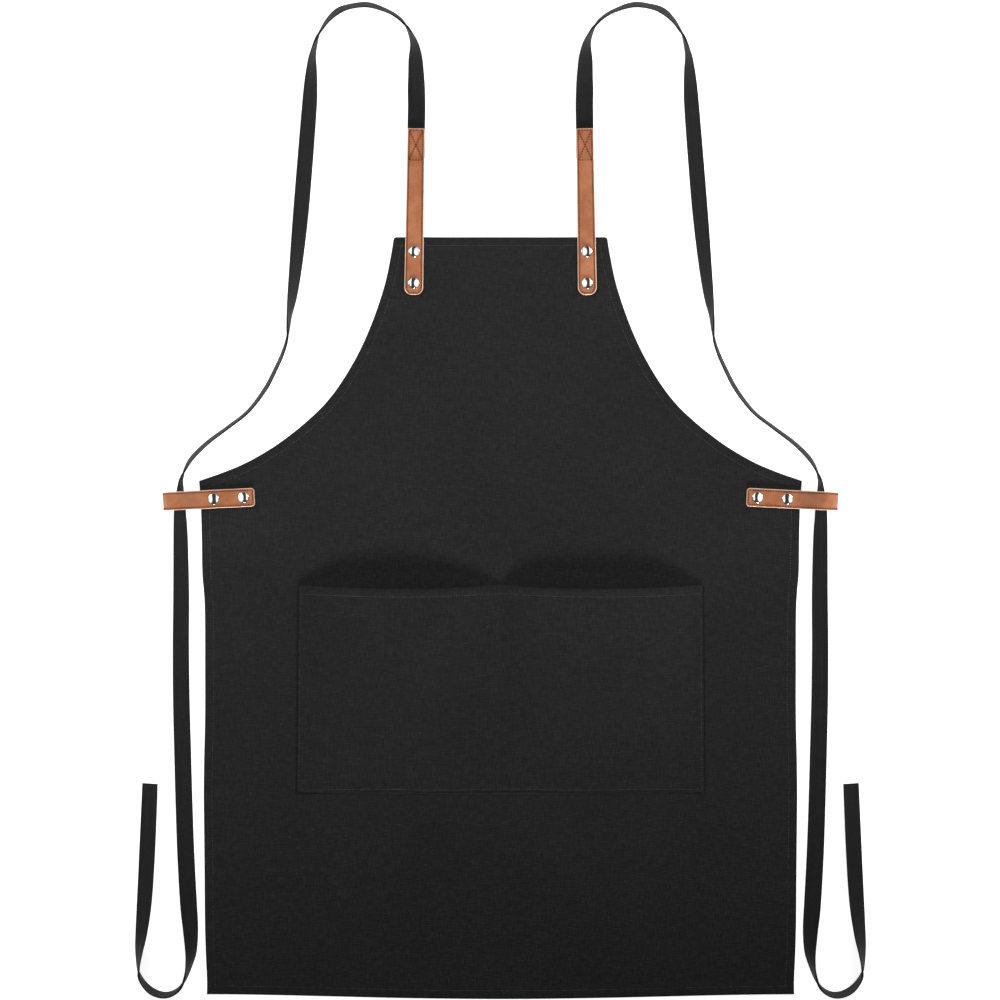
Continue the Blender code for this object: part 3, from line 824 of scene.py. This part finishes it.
def panel_relief(distance, along):
    """Rise of the cloth's face over the folded hem, with its sewn groove and its twisted puckers."""
    fold = 0.00030 * smooth((HEM_WIDTH + 0.0018 - distance) / 0.0022)
    groove = -0.00030 * dip(distance - STITCH_IN, 0.0011)
    edge = -0.00045 * smooth(1 - distance / 0.0012)
    inside = smooth((distance - 0.0008) / 0.002) * smooth((STITCH_IN + 0.004 - distance) / 0.003)
    twist = 0.5 + 0.5 * np.sin(2 * np.pi * (along + 0.9 * distance) / 0.0127 + 1.5 * np.sin(along * 37.0))
    return fold + groove + edge + 0.00022 * inside * twist


def pocket_half(up):
    """Half width of the pocket, from its bottom (0) to its mouth (1)."""
    return POCKET_BOTTOM_HALF + (POCKET_TOP_HALF - POCKET_BOTTOM_HALF) * up


def pocket_press(x, y):
    """The line the pocket's sewn edge presses into the panel, just outside it."""
    half = pocket_half((y - POCKET_BOTTOM) / POCKET_HEIGHT)
    past = np.maximum(np.abs(x) - half, POCKET_BOTTOM - y)
    return -0.00070 * dip(past - 0.0006, 0.0011) * smooth((POCKET_TOP + 0.002 - y) / 0.004)


def panel_top(x, y):
    distance, along = edge_distance(x, y)
    relief = panel_relief(distance, along) + pocket_press(x, y)
    return CLOTH_TOP + panel_lift(x, y) + panel_rolls(x, y) + relief


def stepped(*parts):
    """Places along an edge band and a middle: (start, end, count) runs joined up, without repeats."""
    runs = [np.linspace(start, end, count, endpoint=False) for start, end, count in parts]
    return np.concatenate([*runs, [parts[-1][1]]])


BAND = np.array([0.0, 0.0005, 0.0014, 0.0034, 0.0058, 0.0080, 0.0088, 0.0095, 0.0102, 0.0114, 0.0132])


def panel_grid():
    """x and y of the panel's mesh: finer along the hems, round the waist's corners and where the pocket
    is sewn on."""
    rows = np.concatenate([
        BIB_TOP - BAND,
        stepped((BIB_TOP - BAND[-1] - 0.0035, WAIST + 0.050, 66), (WAIST + 0.048, WAIST + 0.020, 10),
                (WAIST + 0.0185, WAIST, 14))[:-1],
        stepped((WAIST, WAIST - 0.060, 24), (WAIST - 0.0635, POCKET_BOTTOM + 0.007, 88),
                (POCKET_BOTTOM + 0.0045, POCKET_BOTTOM - 0.0045, 16),
                (POCKET_BOTTOM - 0.007, HEM_Y + BAND[-1] + 0.004, 60)),
        HEM_Y + BAND[::-1],
    ])
    right = stepped((0.0, 0.660, 40), (0.668, 0.692, 3), (0.694, 0.736, 34), (0.740, 0.984, 16))
    middle = np.concatenate([-right[:0:-1], right])
    x_rows = []
    for y in rows:
        edges = np.array([float(half_width(y, inset)) for inset in BAND])
        in_corner = max(0.0, BIB_CORNER - (BIB_TOP - y))
        edges -= BIB_CORNER - math.sqrt(BIB_CORNER**2 - in_corner**2)
        x_rows.append(np.concatenate([-edges, middle * edges[-1], edges[::-1]]))
    x = np.array(x_rows)[::-1]
    y = np.repeat(rows[::-1, None], x.shape[1], axis=1)
    return x, y


def sagged(x, y):
    """The hem's slow curve: the middle of the skirt hangs a little lower."""
    return y - HEM_SAG * smooth((WAIST - y) / (WAIST - HEM_Y)) * (1 - (x / HEM_HALF) ** 2) ** 2


def make_panel():
    x, y = panel_grid()
    distance, along = edge_distance(x, y)
    top_z = panel_top(x, y)
    hem = smooth((HEM_WIDTH + 0.0002 - distance) / 0.0006)
    edge = smooth(1 - distance / 0.0012)
    under_z = top_z - panel_relief(distance, along) * 0.6 - CLOTH - HEM_FOLD * hem + 0.00035 * edge
    under_z = np.maximum(under_z, 0.00002)
    y = sagged(x, y)
    top, under = np.stack([x, y, top_z], axis=2), np.stack([x, y, under_z], axis=2)
    panel = closed_sheet("apron_cloth", top, under, canvas)
    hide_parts("apron_panel")
    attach(panel, "apron")
    return panel


def panel_line(points):
    """A line on the panel's face as (points, ups)."""
    x, y = points.T
    return upright(np.stack([x, sagged(x, y), panel_top(x, y)], axis=1))


def hem_stitch_lines(inset):
    side = hem_line(inset)
    top_y, low_y = BIB_TOP - inset, HEM_Y + inset
    top_half, low_half = half_width(top_y, inset), side_half(HEM_Y) - inset
    top = even([(-top_half, top_y), (top_half, top_y)], 0.002)
    low = even([(-low_half, low_y), (low_half, low_y)], 0.002)
    return [side, side * [-1, 1], top, low]


def corner_tack_lines(inset):
    """Short rows that close the hem's corners: at the waist, the bib's top and the hem."""
    lines = []
    for y in (WAIST - 0.0045, HEM_Y + inset, BIB_TOP - inset):
        edge = float(half_width(y))
        lines.append([(edge - inset, y), (edge - 0.002, y)])
    lines.append([(HEM_HALF - inset, HEM_Y + inset), (HEM_HALF - inset, HEM_Y + 0.002)])
    return [even(line, 0.001) * [mirror, 1] for mirror in (-1, 1) for line in lines]


def make_panel_stitches():
    lines = [panel_line(line) for line in hem_stitch_lines(STITCH_IN) + corner_tack_lines(STITCH_IN)]
    stitches = make_stitches("hem_stitches", lines, HEM_STITCHES, cloth_thread)
    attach(stitches, "apron")
    return stitches


# ---------------------------------------------------------------- pocket
def pocket_belly(across):
    """How far the pocket bellies out across its two compartments, 0 at the seams."""
    left = eased((across + 1) / 0.40) * eased(-across / 0.46)
    right = eased(across / 0.32) * eased((1 - across) / 0.38)
    return np.where(across < 0, left, right)


def pocket_height(across, up):
    """Height of the pocket's face over the panel: it opens at the mouth, and the seams hold it down."""
    belly = pocket_belly(across)
    open_mouth = MOUTH_LIFT * belly * np.clip(up, 0, 1) ** 1.25
    puff = 0.0022 * belly * np.sin(np.pi * np.clip(up, 0, 1)) ** 0.8
    folds = 0.0009 * belly * waves(across * 0.23, up * 0.235, 21, 0.13) * smooth(up / 0.15)
    return 0.0013 + open_mouth + puff + folds


POCKET_BAND = np.array([0.0, 0.0005, 0.0012, 0.0018, 0.0026, 0.0045])
POCKET_MOUTH_BAND = np.array([0.0, 0.0006, 0.0020, 0.0050, 0.0084, 0.0093, 0.0100, 0.0107, 0.0118, 0.0140])
POCKET_STITCH = 0.0019
MOUTH_STITCH = 0.0100


def pocket_place(across, up):
    """Row frame x and y of a place on the pocket, with its sagging mouth and its uneven lower edge."""
    sag = MOUTH_SAG * np.abs(np.sin(np.pi * across)) ** 0.8 * np.clip(up, 0, 1) ** 4
    wavy = 0.0006 * np.sin(across * 9.0 + 1.0) * (1 - np.clip(up, 0, 1)) ** 6
    return pocket_half(up) * across, POCKET_BOTTOM + POCKET_HEIGHT * up - sag + wavy


def pocket_relief(across, up):
    side = (1 - np.abs(across)) * POCKET_BOTTOM_HALF
    low, mouth = up * POCKET_HEIGHT, (1 - up) * POCKET_HEIGHT
    edge = np.minimum(side, low)
    fold = 0.00042 * smooth((0.0095 - edge) / 0.0015) + 0.00030 * smooth((0.0112 - mouth) / 0.0018)
    groove = -0.00028 * dip(edge - POCKET_STITCH, 0.0008) - 0.00034 * dip(mouth - MOUTH_STITCH, 0.0011)
    along = across * POCKET_BOTTOM_HALF
    seam = -0.00080 * dip(along, 0.0012)
    rounding = -0.00040 * smooth(1 - np.minimum(edge, mouth) / 0.0011)
    twist = 0.5 + 0.5 * np.sin(2 * np.pi * (along + 0.8 * mouth) / 0.0118 + 1.3 * np.sin(along * 51))
    roping = 0.00022 * twist * smooth(mouth / 0.002) * smooth((0.013 - mouth) / 0.003)
    pucker = 0.00016 * np.sin(2 * np.pi * low / 0.0093) * dip(along, 0.007)
    return fold + groove + seam + rounding + roping + pucker


def pocket_top(across, up):
    x, y = pocket_place(across, up)
    z = CLOTH_TOP + pocket_height(across, up) + pocket_relief(across, up)
    return np.stack([x, y, z], axis=-1)


def make_pocket():
    """The pocket, with a finer mesh along its edges, at its mouth's hem and at the seam down its middle."""
    sides = POCKET_BAND / POCKET_BOTTOM_HALF
    half = stepped((sides[-1] + 0.006, 0.94, 58))
    centre = np.array([0.955, 0.970, 0.982, 0.990, 0.9945])
    left = np.concatenate([sides, half, centre]) - 1
    across = np.concatenate([left, [0.0], -left[::-1]])
    up = np.concatenate([
        POCKET_BAND / POCKET_HEIGHT,
        stepped((0.034, 1 - (POCKET_MOUTH_BAND[-1] + 0.002) / POCKET_HEIGHT, 60)),
        1 - POCKET_MOUTH_BAND[::-1] / POCKET_HEIGHT,
    ])
    a, u = np.meshgrid(across, up)
    top = pocket_top(a, u)
    side = (1 - np.abs(a)) * POCKET_BOTTOM_HALF
    folded = np.maximum(smooth((0.0092 - np.minimum(side, u * POCKET_HEIGHT)) / 0.0008),
                        smooth((0.0110 - (1 - u) * POCKET_HEIGHT) / 0.0008))
    under = top.copy()
    under[..., 2] -= CLOTH + 0.00035 * folded + 0.6 * pocket_relief(a, u)
    under[..., 2] = np.maximum(under[..., 2], CLOTH_TOP + 0.00034)
    top[..., 2] = np.maximum(top[..., 2], under[..., 2] + 0.00045)
    pocket = closed_sheet("pocket_cloth", top, under, canvas)
    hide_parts("pocket_panel")
    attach(pocket, "apron")
    return pocket


def pocket_line(across, up):
    return upright(even(pocket_top(across, up), 0.0015))


def make_pocket_stitches():
    side = 1 - POCKET_STITCH / POCKET_BOTTOM_HALF
    low = POCKET_STITCH / POCKET_HEIGHT
    mouth = 1 - MOUTH_STITCH / POCKET_HEIGHT
    tack = 1 - 0.0015 / POCKET_HEIGHT
    run = np.linspace(0, 1, 220)
    lines = [
        pocket_line(-side + 2 * side * run, low + 0 * run),
        pocket_line(-side + 0 * run, low + (tack - low) * run),
        pocket_line(side + 0 * run, low + (tack - low) * run),
        pocket_line(0 * run, low + (tack - low) * run),
        pocket_line(-side + 2 * side * run, mouth + 0 * run),
    ]
    stitches = make_stitches("pocket_stitches", lines, POCKET_STITCHES, cloth_thread)
    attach(stitches, "apron")
    return stitches


# ---------------------------------------------------------------- leather
def rounded_half(half, radius, from_end):
    """Half width of a strip at distances from an end whose corners are rounded."""
    inside = np.clip(radius - from_end, 0, radius)
    return half - radius + np.sqrt(np.maximum(radius**2 - inside**2, 0))


def across_places(half, rounding):
    """Places across a strip: close together at its rounded edges."""
    near = np.array([0.0, 0.12, 0.35, 0.7, 1.0, 1.6, 2.3, 3.1, 3.7, 4.3, 5.0, 5.9, 7.5]) * rounding
    near = near[near < half * 0.9]
    return np.concatenate([-half + near, [0.0], (half - near)[::-1]])


def edge_drop(from_edge, rounding):
    """How far a rounded edge falls away below the face."""
    inside = np.clip(rounding - from_edge, 0, rounding)
    return rounding - np.sqrt(np.maximum(rounding**2 - inside**2, 0))


def strip_places(half, full_half):
    """Places across a strip whose half width falls from full_half to half at its rounded ends."""
    full = across_places(full_half, LEATHER_ROUNDING)
    return np.sign(full) * (half - (full_half - np.abs(full)) * min(1.0, half / full_half))


def end_stations(radius):
    """Distances from a strip's rounded end, closer together near it."""
    return radius * (1 - np.cos(np.radians([0, 8, 16, 26, 38, 50, 62, 75, 90])))


def place_local(points, middle, turn):
    """Local (x, y, z) points turned about Z and moved to their place in the row frame."""
    points = np.asarray(points, float)
    cosine, sine = math.cos(turn), math.sin(turn)
    x = points[..., 0] * cosine - points[..., 1] * sine + middle[0]
    y = points[..., 0] * sine + points[..., 1] * cosine + middle[1]
    return np.stack([x, y, points[..., 2]], axis=-1)


def tab_half(y, grow):
    half_length, radius = TAB_HALF_LENGTH + grow, TAB_END_RADIUS + grow
    share = (y + half_length) / (2 * half_length)
    half = TAB_LOW_HALF_WIDTH + (TAB_TOP_HALF_WIDTH - TAB_LOW_HALF_WIDTH) * share + grow
    low = rounded_half(half, radius, y + half_length)
    return np.minimum(low, rounded_half(half, 0.0012, half_length - y))


TAB_BOX = 0.0358  # the box of stitches over the tape's end reaches this far down from the top
TAB_RIVETS = (-0.0450, -0.0815)  # along the tab from its middle
LOOP_RIVETS = (0.01295, 0.04705)  # along the loop from each end


def tab_relief(x, y, grow):
    """Soft swell of the leather between its stitched rows, dips at the rivets and the box of stitches."""
    half = tab_half(y, grow)
    from_edge = np.minimum(half - np.abs(x), TAB_HALF_LENGTH + grow - np.abs(y))
    swell = 0.00022 * smooth((from_edge - LEATHER_STITCH) / 0.004)
    groove = -0.00020 * dip(from_edge - LEATHER_STITCH, 0.0007)
    dips = -0.00025 * sum(dip(np.hypot(x, y - along), 0.0075) for along in TAB_RIVETS)
    press = -0.00015 * smooth((y - TAB_HALF_LENGTH + TAB_BOX) / 0.003)
    return swell + groove + dips + press + 0.00010 * waves(x, y, 33, 0.03)


def leather_shares(from_edge):
    """Where a layer shows its cut rim, with a painted highlight on its rounded edge, and its sewn rows,
    compressed and with painted shade in their grooves, from the distance to its edge.
    """
    # rim: the pale cut edge, and a painted highlight along the rounded edge
    rim = smooth((0.0006 - from_edge) / 0.0005)
    # seam: compressed leather, and painted shade in the stitch groove that the relief cuts at the same
    # place
    seam = dip(from_edge - LEATHER_STITCH, 0.0007)
    return (("rim", rim, 1.0), ("seam", seam, 0.0))


def make_tab_layer(name, side, height, grow, material, relief):
    """One flat layer of a bib tab, with rounded edges."""
    half_length, radius = TAB_HALF_LENGTH + grow, TAB_END_RADIUS + grow
    low = -half_length + end_stations(radius)
    top_run = half_length - np.array([0.0, 0.0001, 0.0003, 0.0006, 0.0009, 0.0014, 0.0024])[::-1]
    stations = np.concatenate([low, np.linspace(low[-1], top_run[0], 74)[1:-1], top_run])
    rows, under, edges = [], [], []
    for y in stations:
        half = float(tab_half(y, grow))
        x = strip_places(half, TAB_LOW_HALF_WIDTH)
        from_edge = np.minimum(half - np.abs(x), half_length - abs(y))
        drop = edge_drop(from_edge, LEATHER_ROUNDING)
        lift = tab_relief(x, np.full_like(x, y), grow) * smooth(from_edge / 0.001) if relief else 0 * x
        rows.append(np.stack([x, np.full_like(x, y), height + LEATHER / 2 - drop + lift], axis=1))
        under.append(np.stack([x, np.full_like(x, y), height - LEATHER / 2 + drop], axis=1))
        edges.append(from_edge)
    middle = (side * TAB_MIDDLE[0], TAB_MIDDLE[1])
    top = place_local(np.array(rows), middle, side * TAB_LEAN)
    low_face = place_local(np.array(under), middle, side * TAB_LEAN)
    return closed_sheet(name, top, low_face, material, leather_shares(np.array(edges)))


def tab_stitch_lines(side, height):
    """Rows round the tab's edge, and the box with its cross over the tape's end."""
    inset, half_length = LEATHER_STITCH, TAB_HALF_LENGTH
    y = np.concatenate([np.linspace(half_length - inset, -half_length + TAB_END_RADIUS, 90),
                        -half_length + end_stations(TAB_END_RADIUS)[::-1][1:]])
    edge = np.stack([tab_half(y, 0.0), y], axis=1)
    outline = np.concatenate([edge, (edge * [-1, 1])[::-1]])
    tangent = unit(np.gradient(outline, axis=0))
    inner = outline + np.stack([tangent[:, 1], -tangent[:, 0]], axis=1) * inset
    inner = inner[(np.abs(inner[:, 0]) < TAB_LOW_HALF_WIDTH) & (inner[:, 1] > -half_length + inset * 0.8)]
    top_y, low_y = half_length - inset, half_length - TAB_BOX
    wide = TAB_TOP_HALF_WIDTH - inset
    cross_y = top_y - 0.001
    lines = [
        inner,
        [(-wide, low_y), (wide, low_y)],
        [(-wide, top_y), (wide, top_y)],
        [(-wide, low_y), (wide, cross_y)],
        [(wide, low_y), (-wide, cross_y)],
    ]
    middle = (side * TAB_MIDDLE[0], TAB_MIDDLE[1])
    found = []
    for line in lines:
        line = even(line, 0.001)
        z = height + LEATHER / 2 + tab_relief(line[:, 0], line[:, 1], 0.0)
        found.append(upright(place_local(np.column_stack([line, z]), middle, side * TAB_LEAN)))
    return found


def loop_route():
    """(outward, up) points and outward normals of the loop's middle surface, from front leg to back leg."""
    knots = [
        ((LOOP_LEG_FLAT, FRONT_LEG), (0.012, 0.0)),
        (LOOP_CREST, (0.0085, 0.0)),
        (LOOP_FOLD, (0.0, -0.0052)),
        (LOOP_BELLY, (-0.0105, 0.0)),
        ((LOOP_LEG_FLAT, BACK_LEG), (-0.010, 0.0)),
    ]
    spans = []
    for (start, leave), (end, arrive) in zip(knots, knots[1:]):
        start, end, leave, arrive = (np.array(v) for v in (start, end, leave, arrive))
        spans.append(bezier(start, start + leave, end - arrive, end, 40)[:-1])
    return np.concatenate([*spans, [[LOOP_LEG_FLAT, BACK_LEG]]])


def loop_line(end):
    """The strip's middle line: its points, their outward normals, their places along it, its length."""
    route = np.concatenate([[(end, FRONT_LEG)], loop_route(), [(end, BACK_LEG)]])
    at = arc_lengths(route)
    near = end_stations(LOOP_END_RADIUS)
    between = np.linspace(near[-1], at[-1] - near[-1], 120)[1:-1]
    places = np.concatenate([near, between, at[-1] - near[::-1]])
    line = np.stack([np.interp(places, at, route[:, k]) for k in range(2)], axis=1)
    along = unit(np.gradient(line, axis=0))
    for _ in range(3):
        along[1:-1] = (along[:-2] + along[1:-1] * 2 + along[2:]) / 4
    along = unit(along)
    return line, np.stack([-along[:, 1], along[:, 0]], axis=1), places, at[-1]


def loop_relief(place, total, across, half):
    from_end = np.minimum(place, total - place)
    from_edge = np.minimum(half - np.abs(across), from_end)
    swell = 0.00020 * smooth((from_edge - LEATHER_STITCH) / 0.004)
    groove = -0.00018 * dip(from_edge - LEATHER_STITCH, 0.0007)
    dips = -0.00022 * sum(dip(np.hypot(across, from_end - along), 0.0075) for along in LOOP_RIVETS)
    return swell + groove + dips + 0.00008 * waves(across + place, place, 51, 0.03)


def make_loop_layer(name, side, outward, grow, material, relief):
    """One layer of a side loop. Its outer face carries the relief."""
    line, normals, places, total = loop_line(LOOP_LEG_END - grow)
    outer, inner, edges = [], [], []
    for (u, z), normal, place in zip(line, normals, places):
        from_end = min(place, total - place)
        half = float(rounded_half(LOOP_HALF_WIDTH + grow, LOOP_END_RADIUS + grow, from_end))
        v = strip_places(half, LOOP_HALF_WIDTH)
        from_edge = np.minimum(half - np.abs(v), from_end)
        drop = edge_drop(from_edge, LEATHER_ROUNDING)
        lift = loop_relief(place, total, v, half) * smooth(from_edge / 0.001) if relief else 0 * v
        edges.append(from_edge)
        up, down = outward + LEATHER / 2 - drop + lift, outward - LEATHER / 2 + drop
        for rows, offset in ((outer, up), (inner, down)):
            rows.append(np.stack([side * (u + normal[0] * offset), v, z + normal[1] * offset], axis=1))
    outer, inner, edges = np.array(outer), np.array(inner), np.array(edges)
    if side > 0:  # keeps the outer face's rows turning the same way on both sides
        outer, inner, edges = outer[::-1], inner[::-1], edges[::-1]
    middle, turn = (side * LOOP_MIDDLE[0], LOOP_MIDDLE[1]), -side * LOOP_LEAN
    outer, inner = (place_local(grid.transpose(1, 0, 2), middle, turn) for grid in (outer, inner))
    return closed_sheet(name, outer, inner, material, leather_shares(edges.T))


def loop_stitch_lines(side):
    """A row along each edge of the strip, right round the fold, and a row across each end."""
    line, normals, places, total = loop_line(LOOP_LEG_END)
    inset = LEATHER_STITCH
    offset = LAYER / 2 + LEATHER / 2
    middle, turn = (side * LOOP_MIDDLE[0], LOOP_MIDDLE[1]), -side * LOOP_LEAN
    found = []

    def on_strip(place, across):
        u = np.interp(place, places, line[:, 0])
        z = np.interp(place, places, line[:, 1])
        n = np.stack([np.interp(place, places, normals[:, k]) for k in range(2)], axis=1)
        lift = offset + loop_relief(place, total, across, LOOP_HALF_WIDTH)
        points = np.stack([side * (u + n[:, 0] * lift), across, z + n[:, 1] * lift], axis=1)
        ups = np.stack([side * n[:, 0], 0 * across, n[:, 1]], axis=1)
        found.append((place_local(points, middle, turn), place_local(ups, (0, 0), turn)))

    wide = LOOP_HALF_WIDTH - inset
    for edge in (-wide, wide):
        place = np.arange(inset + 0.0006, total - inset - 0.0006, 0.001)
        on_strip(place, np.full_like(place, edge))
    for end in (inset, total - inset):
        across = np.linspace(-wide + 0.001, wide - 0.001, 24)
        on_strip(np.full_like(across, end), across)
    return found


def make_leather(prefix, side):
    height = TAB_LINING_Z
    tab_lining = make_tab_layer(f"{prefix}_tab_lining", side, height, LINING_GROWS, raw_leather, False)
    tab_face = make_tab_layer(f"{prefix}_tab_face", side, height + LAYER, 0.0, leather, True)
    tab_stitches = make_stitches(f"{prefix}_tab_stitches", tab_stitch_lines(side, height + LAYER),
                                 LEATHER_STITCHES, rust_thread)
    loop_lining = make_loop_layer(f"{prefix}_loop_lining", side, -LAYER / 2, LINING_GROWS, raw_leather,
                                  False)
    loop_face = make_loop_layer(f"{prefix}_loop_face", side, LAYER / 2, 0.0, leather, True)
    loop_stitches = make_stitches(f"{prefix}_loop_stitches", loop_stitch_lines(side),
                                  LEATHER_STITCHES, rust_thread)
    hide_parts(f"{prefix}_bib_tab_face")
    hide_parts(f"{prefix}_bib_tab_lining")
    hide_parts(f"{prefix}_side_loop_face")
    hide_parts(f"{prefix}_side_loop_lining")
    for piece in (tab_face, tab_lining, tab_stitches, loop_face, loop_lining, loop_stitches):
        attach(piece, "apron")


# ---------------------------------------------------------------- rivets
def turned(name, profile, centre, material, lean=0.0, steps=48):
    """A turned solid from (radius, height) points that start and end on the axis. lean tips the middle
    of its top face towards +X, and leaves its rim level."""
    points, faces, rings = [], [], []
    radii = [radius for radius, _ in profile]
    widest = max(radii)
    rim_at = radii.index(widest)
    for at, (radius, height) in enumerate(profile):
        tip = lean * (1 - (radius / widest) ** 2) if at < rim_at else 0.0
        if radius == 0:
            rings.append([len(points)])
            points.append((centre[0], centre[1], height))
        else:
            rings.append(list(range(len(points), len(points) + steps)))
            for i in range(steps):
                angle = 2 * math.pi * i / steps
                x, y = radius * math.cos(angle), radius * math.sin(angle)
                points.append((centre[0] + x, centre[1] + y, height - tip * x))
    for upper, lower in zip(rings, rings[1:]):
        for i in range(steps):
            k = (i + 1) % steps
            corners = (upper[i % len(upper)], lower[i % len(lower)], lower[k % len(lower)],
                       upper[k % len(upper)])
            faces.append(tuple(dict.fromkeys(corners)))
    obj = add_mesh(name, points, faces, material)
    obj.data.set_sharp_from_angle(angle=math.radians(40))
    return obj


def cap_profile(low, high, post_end, radius):
    """A shallow dome with a rolled rim. Its foot carries the post."""
    dome = [(share * radius, high - 0.17 * radius * share**1.8) for share in np.linspace(0, 0.9, 13)]
    edge = dome[-1][1] - low
    rim = [(0.94, 0.90), (0.97, 0.74), (0.99, 0.50), (1.0, 0.25), (0.99, 0.0)]
    dome += [(a * radius, low + edge * b) for a, b in rim]
    return [*dome, (0.0013, low), (0.0013, post_end), (0.0, post_end)]


def back_profile(low, high, socket_top, radius):
    """A flat cap with a rounded rim and a shallow dished middle, and the socket tube above it."""
    return [
        (0.0, high - GAP), (0.0016, high - GAP), (0.0016, socket_top), (0.0020, socket_top),
        (0.0020, high), (0.96 * radius, high), (radius, high - 0.00035), (0.97 * radius, low + 0.00025),
        (0.90 * radius, low), (0.55 * radius, low), (0.45 * radius, low + 0.00015), (0.0, low + 0.00015),
    ]


def make_rivets(prefix, side):
    for place, lean in RIVETS:
        low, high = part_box(f"{prefix}_{place}_rivet_cap")
        back_low, back_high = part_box(f"{prefix}_{place}_rivet_back")
        centre = ((low.x + high.x) / 2, (low.y + high.y) / 2)
        cap_shape = cap_profile(high.z - CAP_HEIGHT, high.z, low.z, CAP_RADIUS)
        back_shape = back_profile(back_low.z, BACK_CAP_TOP, back_high.z, BACK_CAP_RADIUS)
        cap = turned(f"{prefix}_{place}_cap", cap_shape, centre, chrome, -side * lean)
        back = turned(f"{prefix}_{place}_back", back_shape, centre, chrome)
        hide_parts(f"{prefix}_{place}_rivet_cap")
        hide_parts(f"{prefix}_{place}_rivet_back")
        for piece in (cap, back):
            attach(piece, "apron")


# ---------------------------------------------------------------- everything
def main():
    make_stage()
    make_lights()
    make_camera()
    for prefix, side in SIDES:
        make_tape(prefix, side)
    panel = make_panel()
    hem_stitches = make_panel_stitches()
    pocket = make_pocket()
    pocket_stitches = make_pocket_stitches()
    for prefix, side in SIDES:
        make_leather(prefix, side)
        make_rivets(prefix, side)


main()
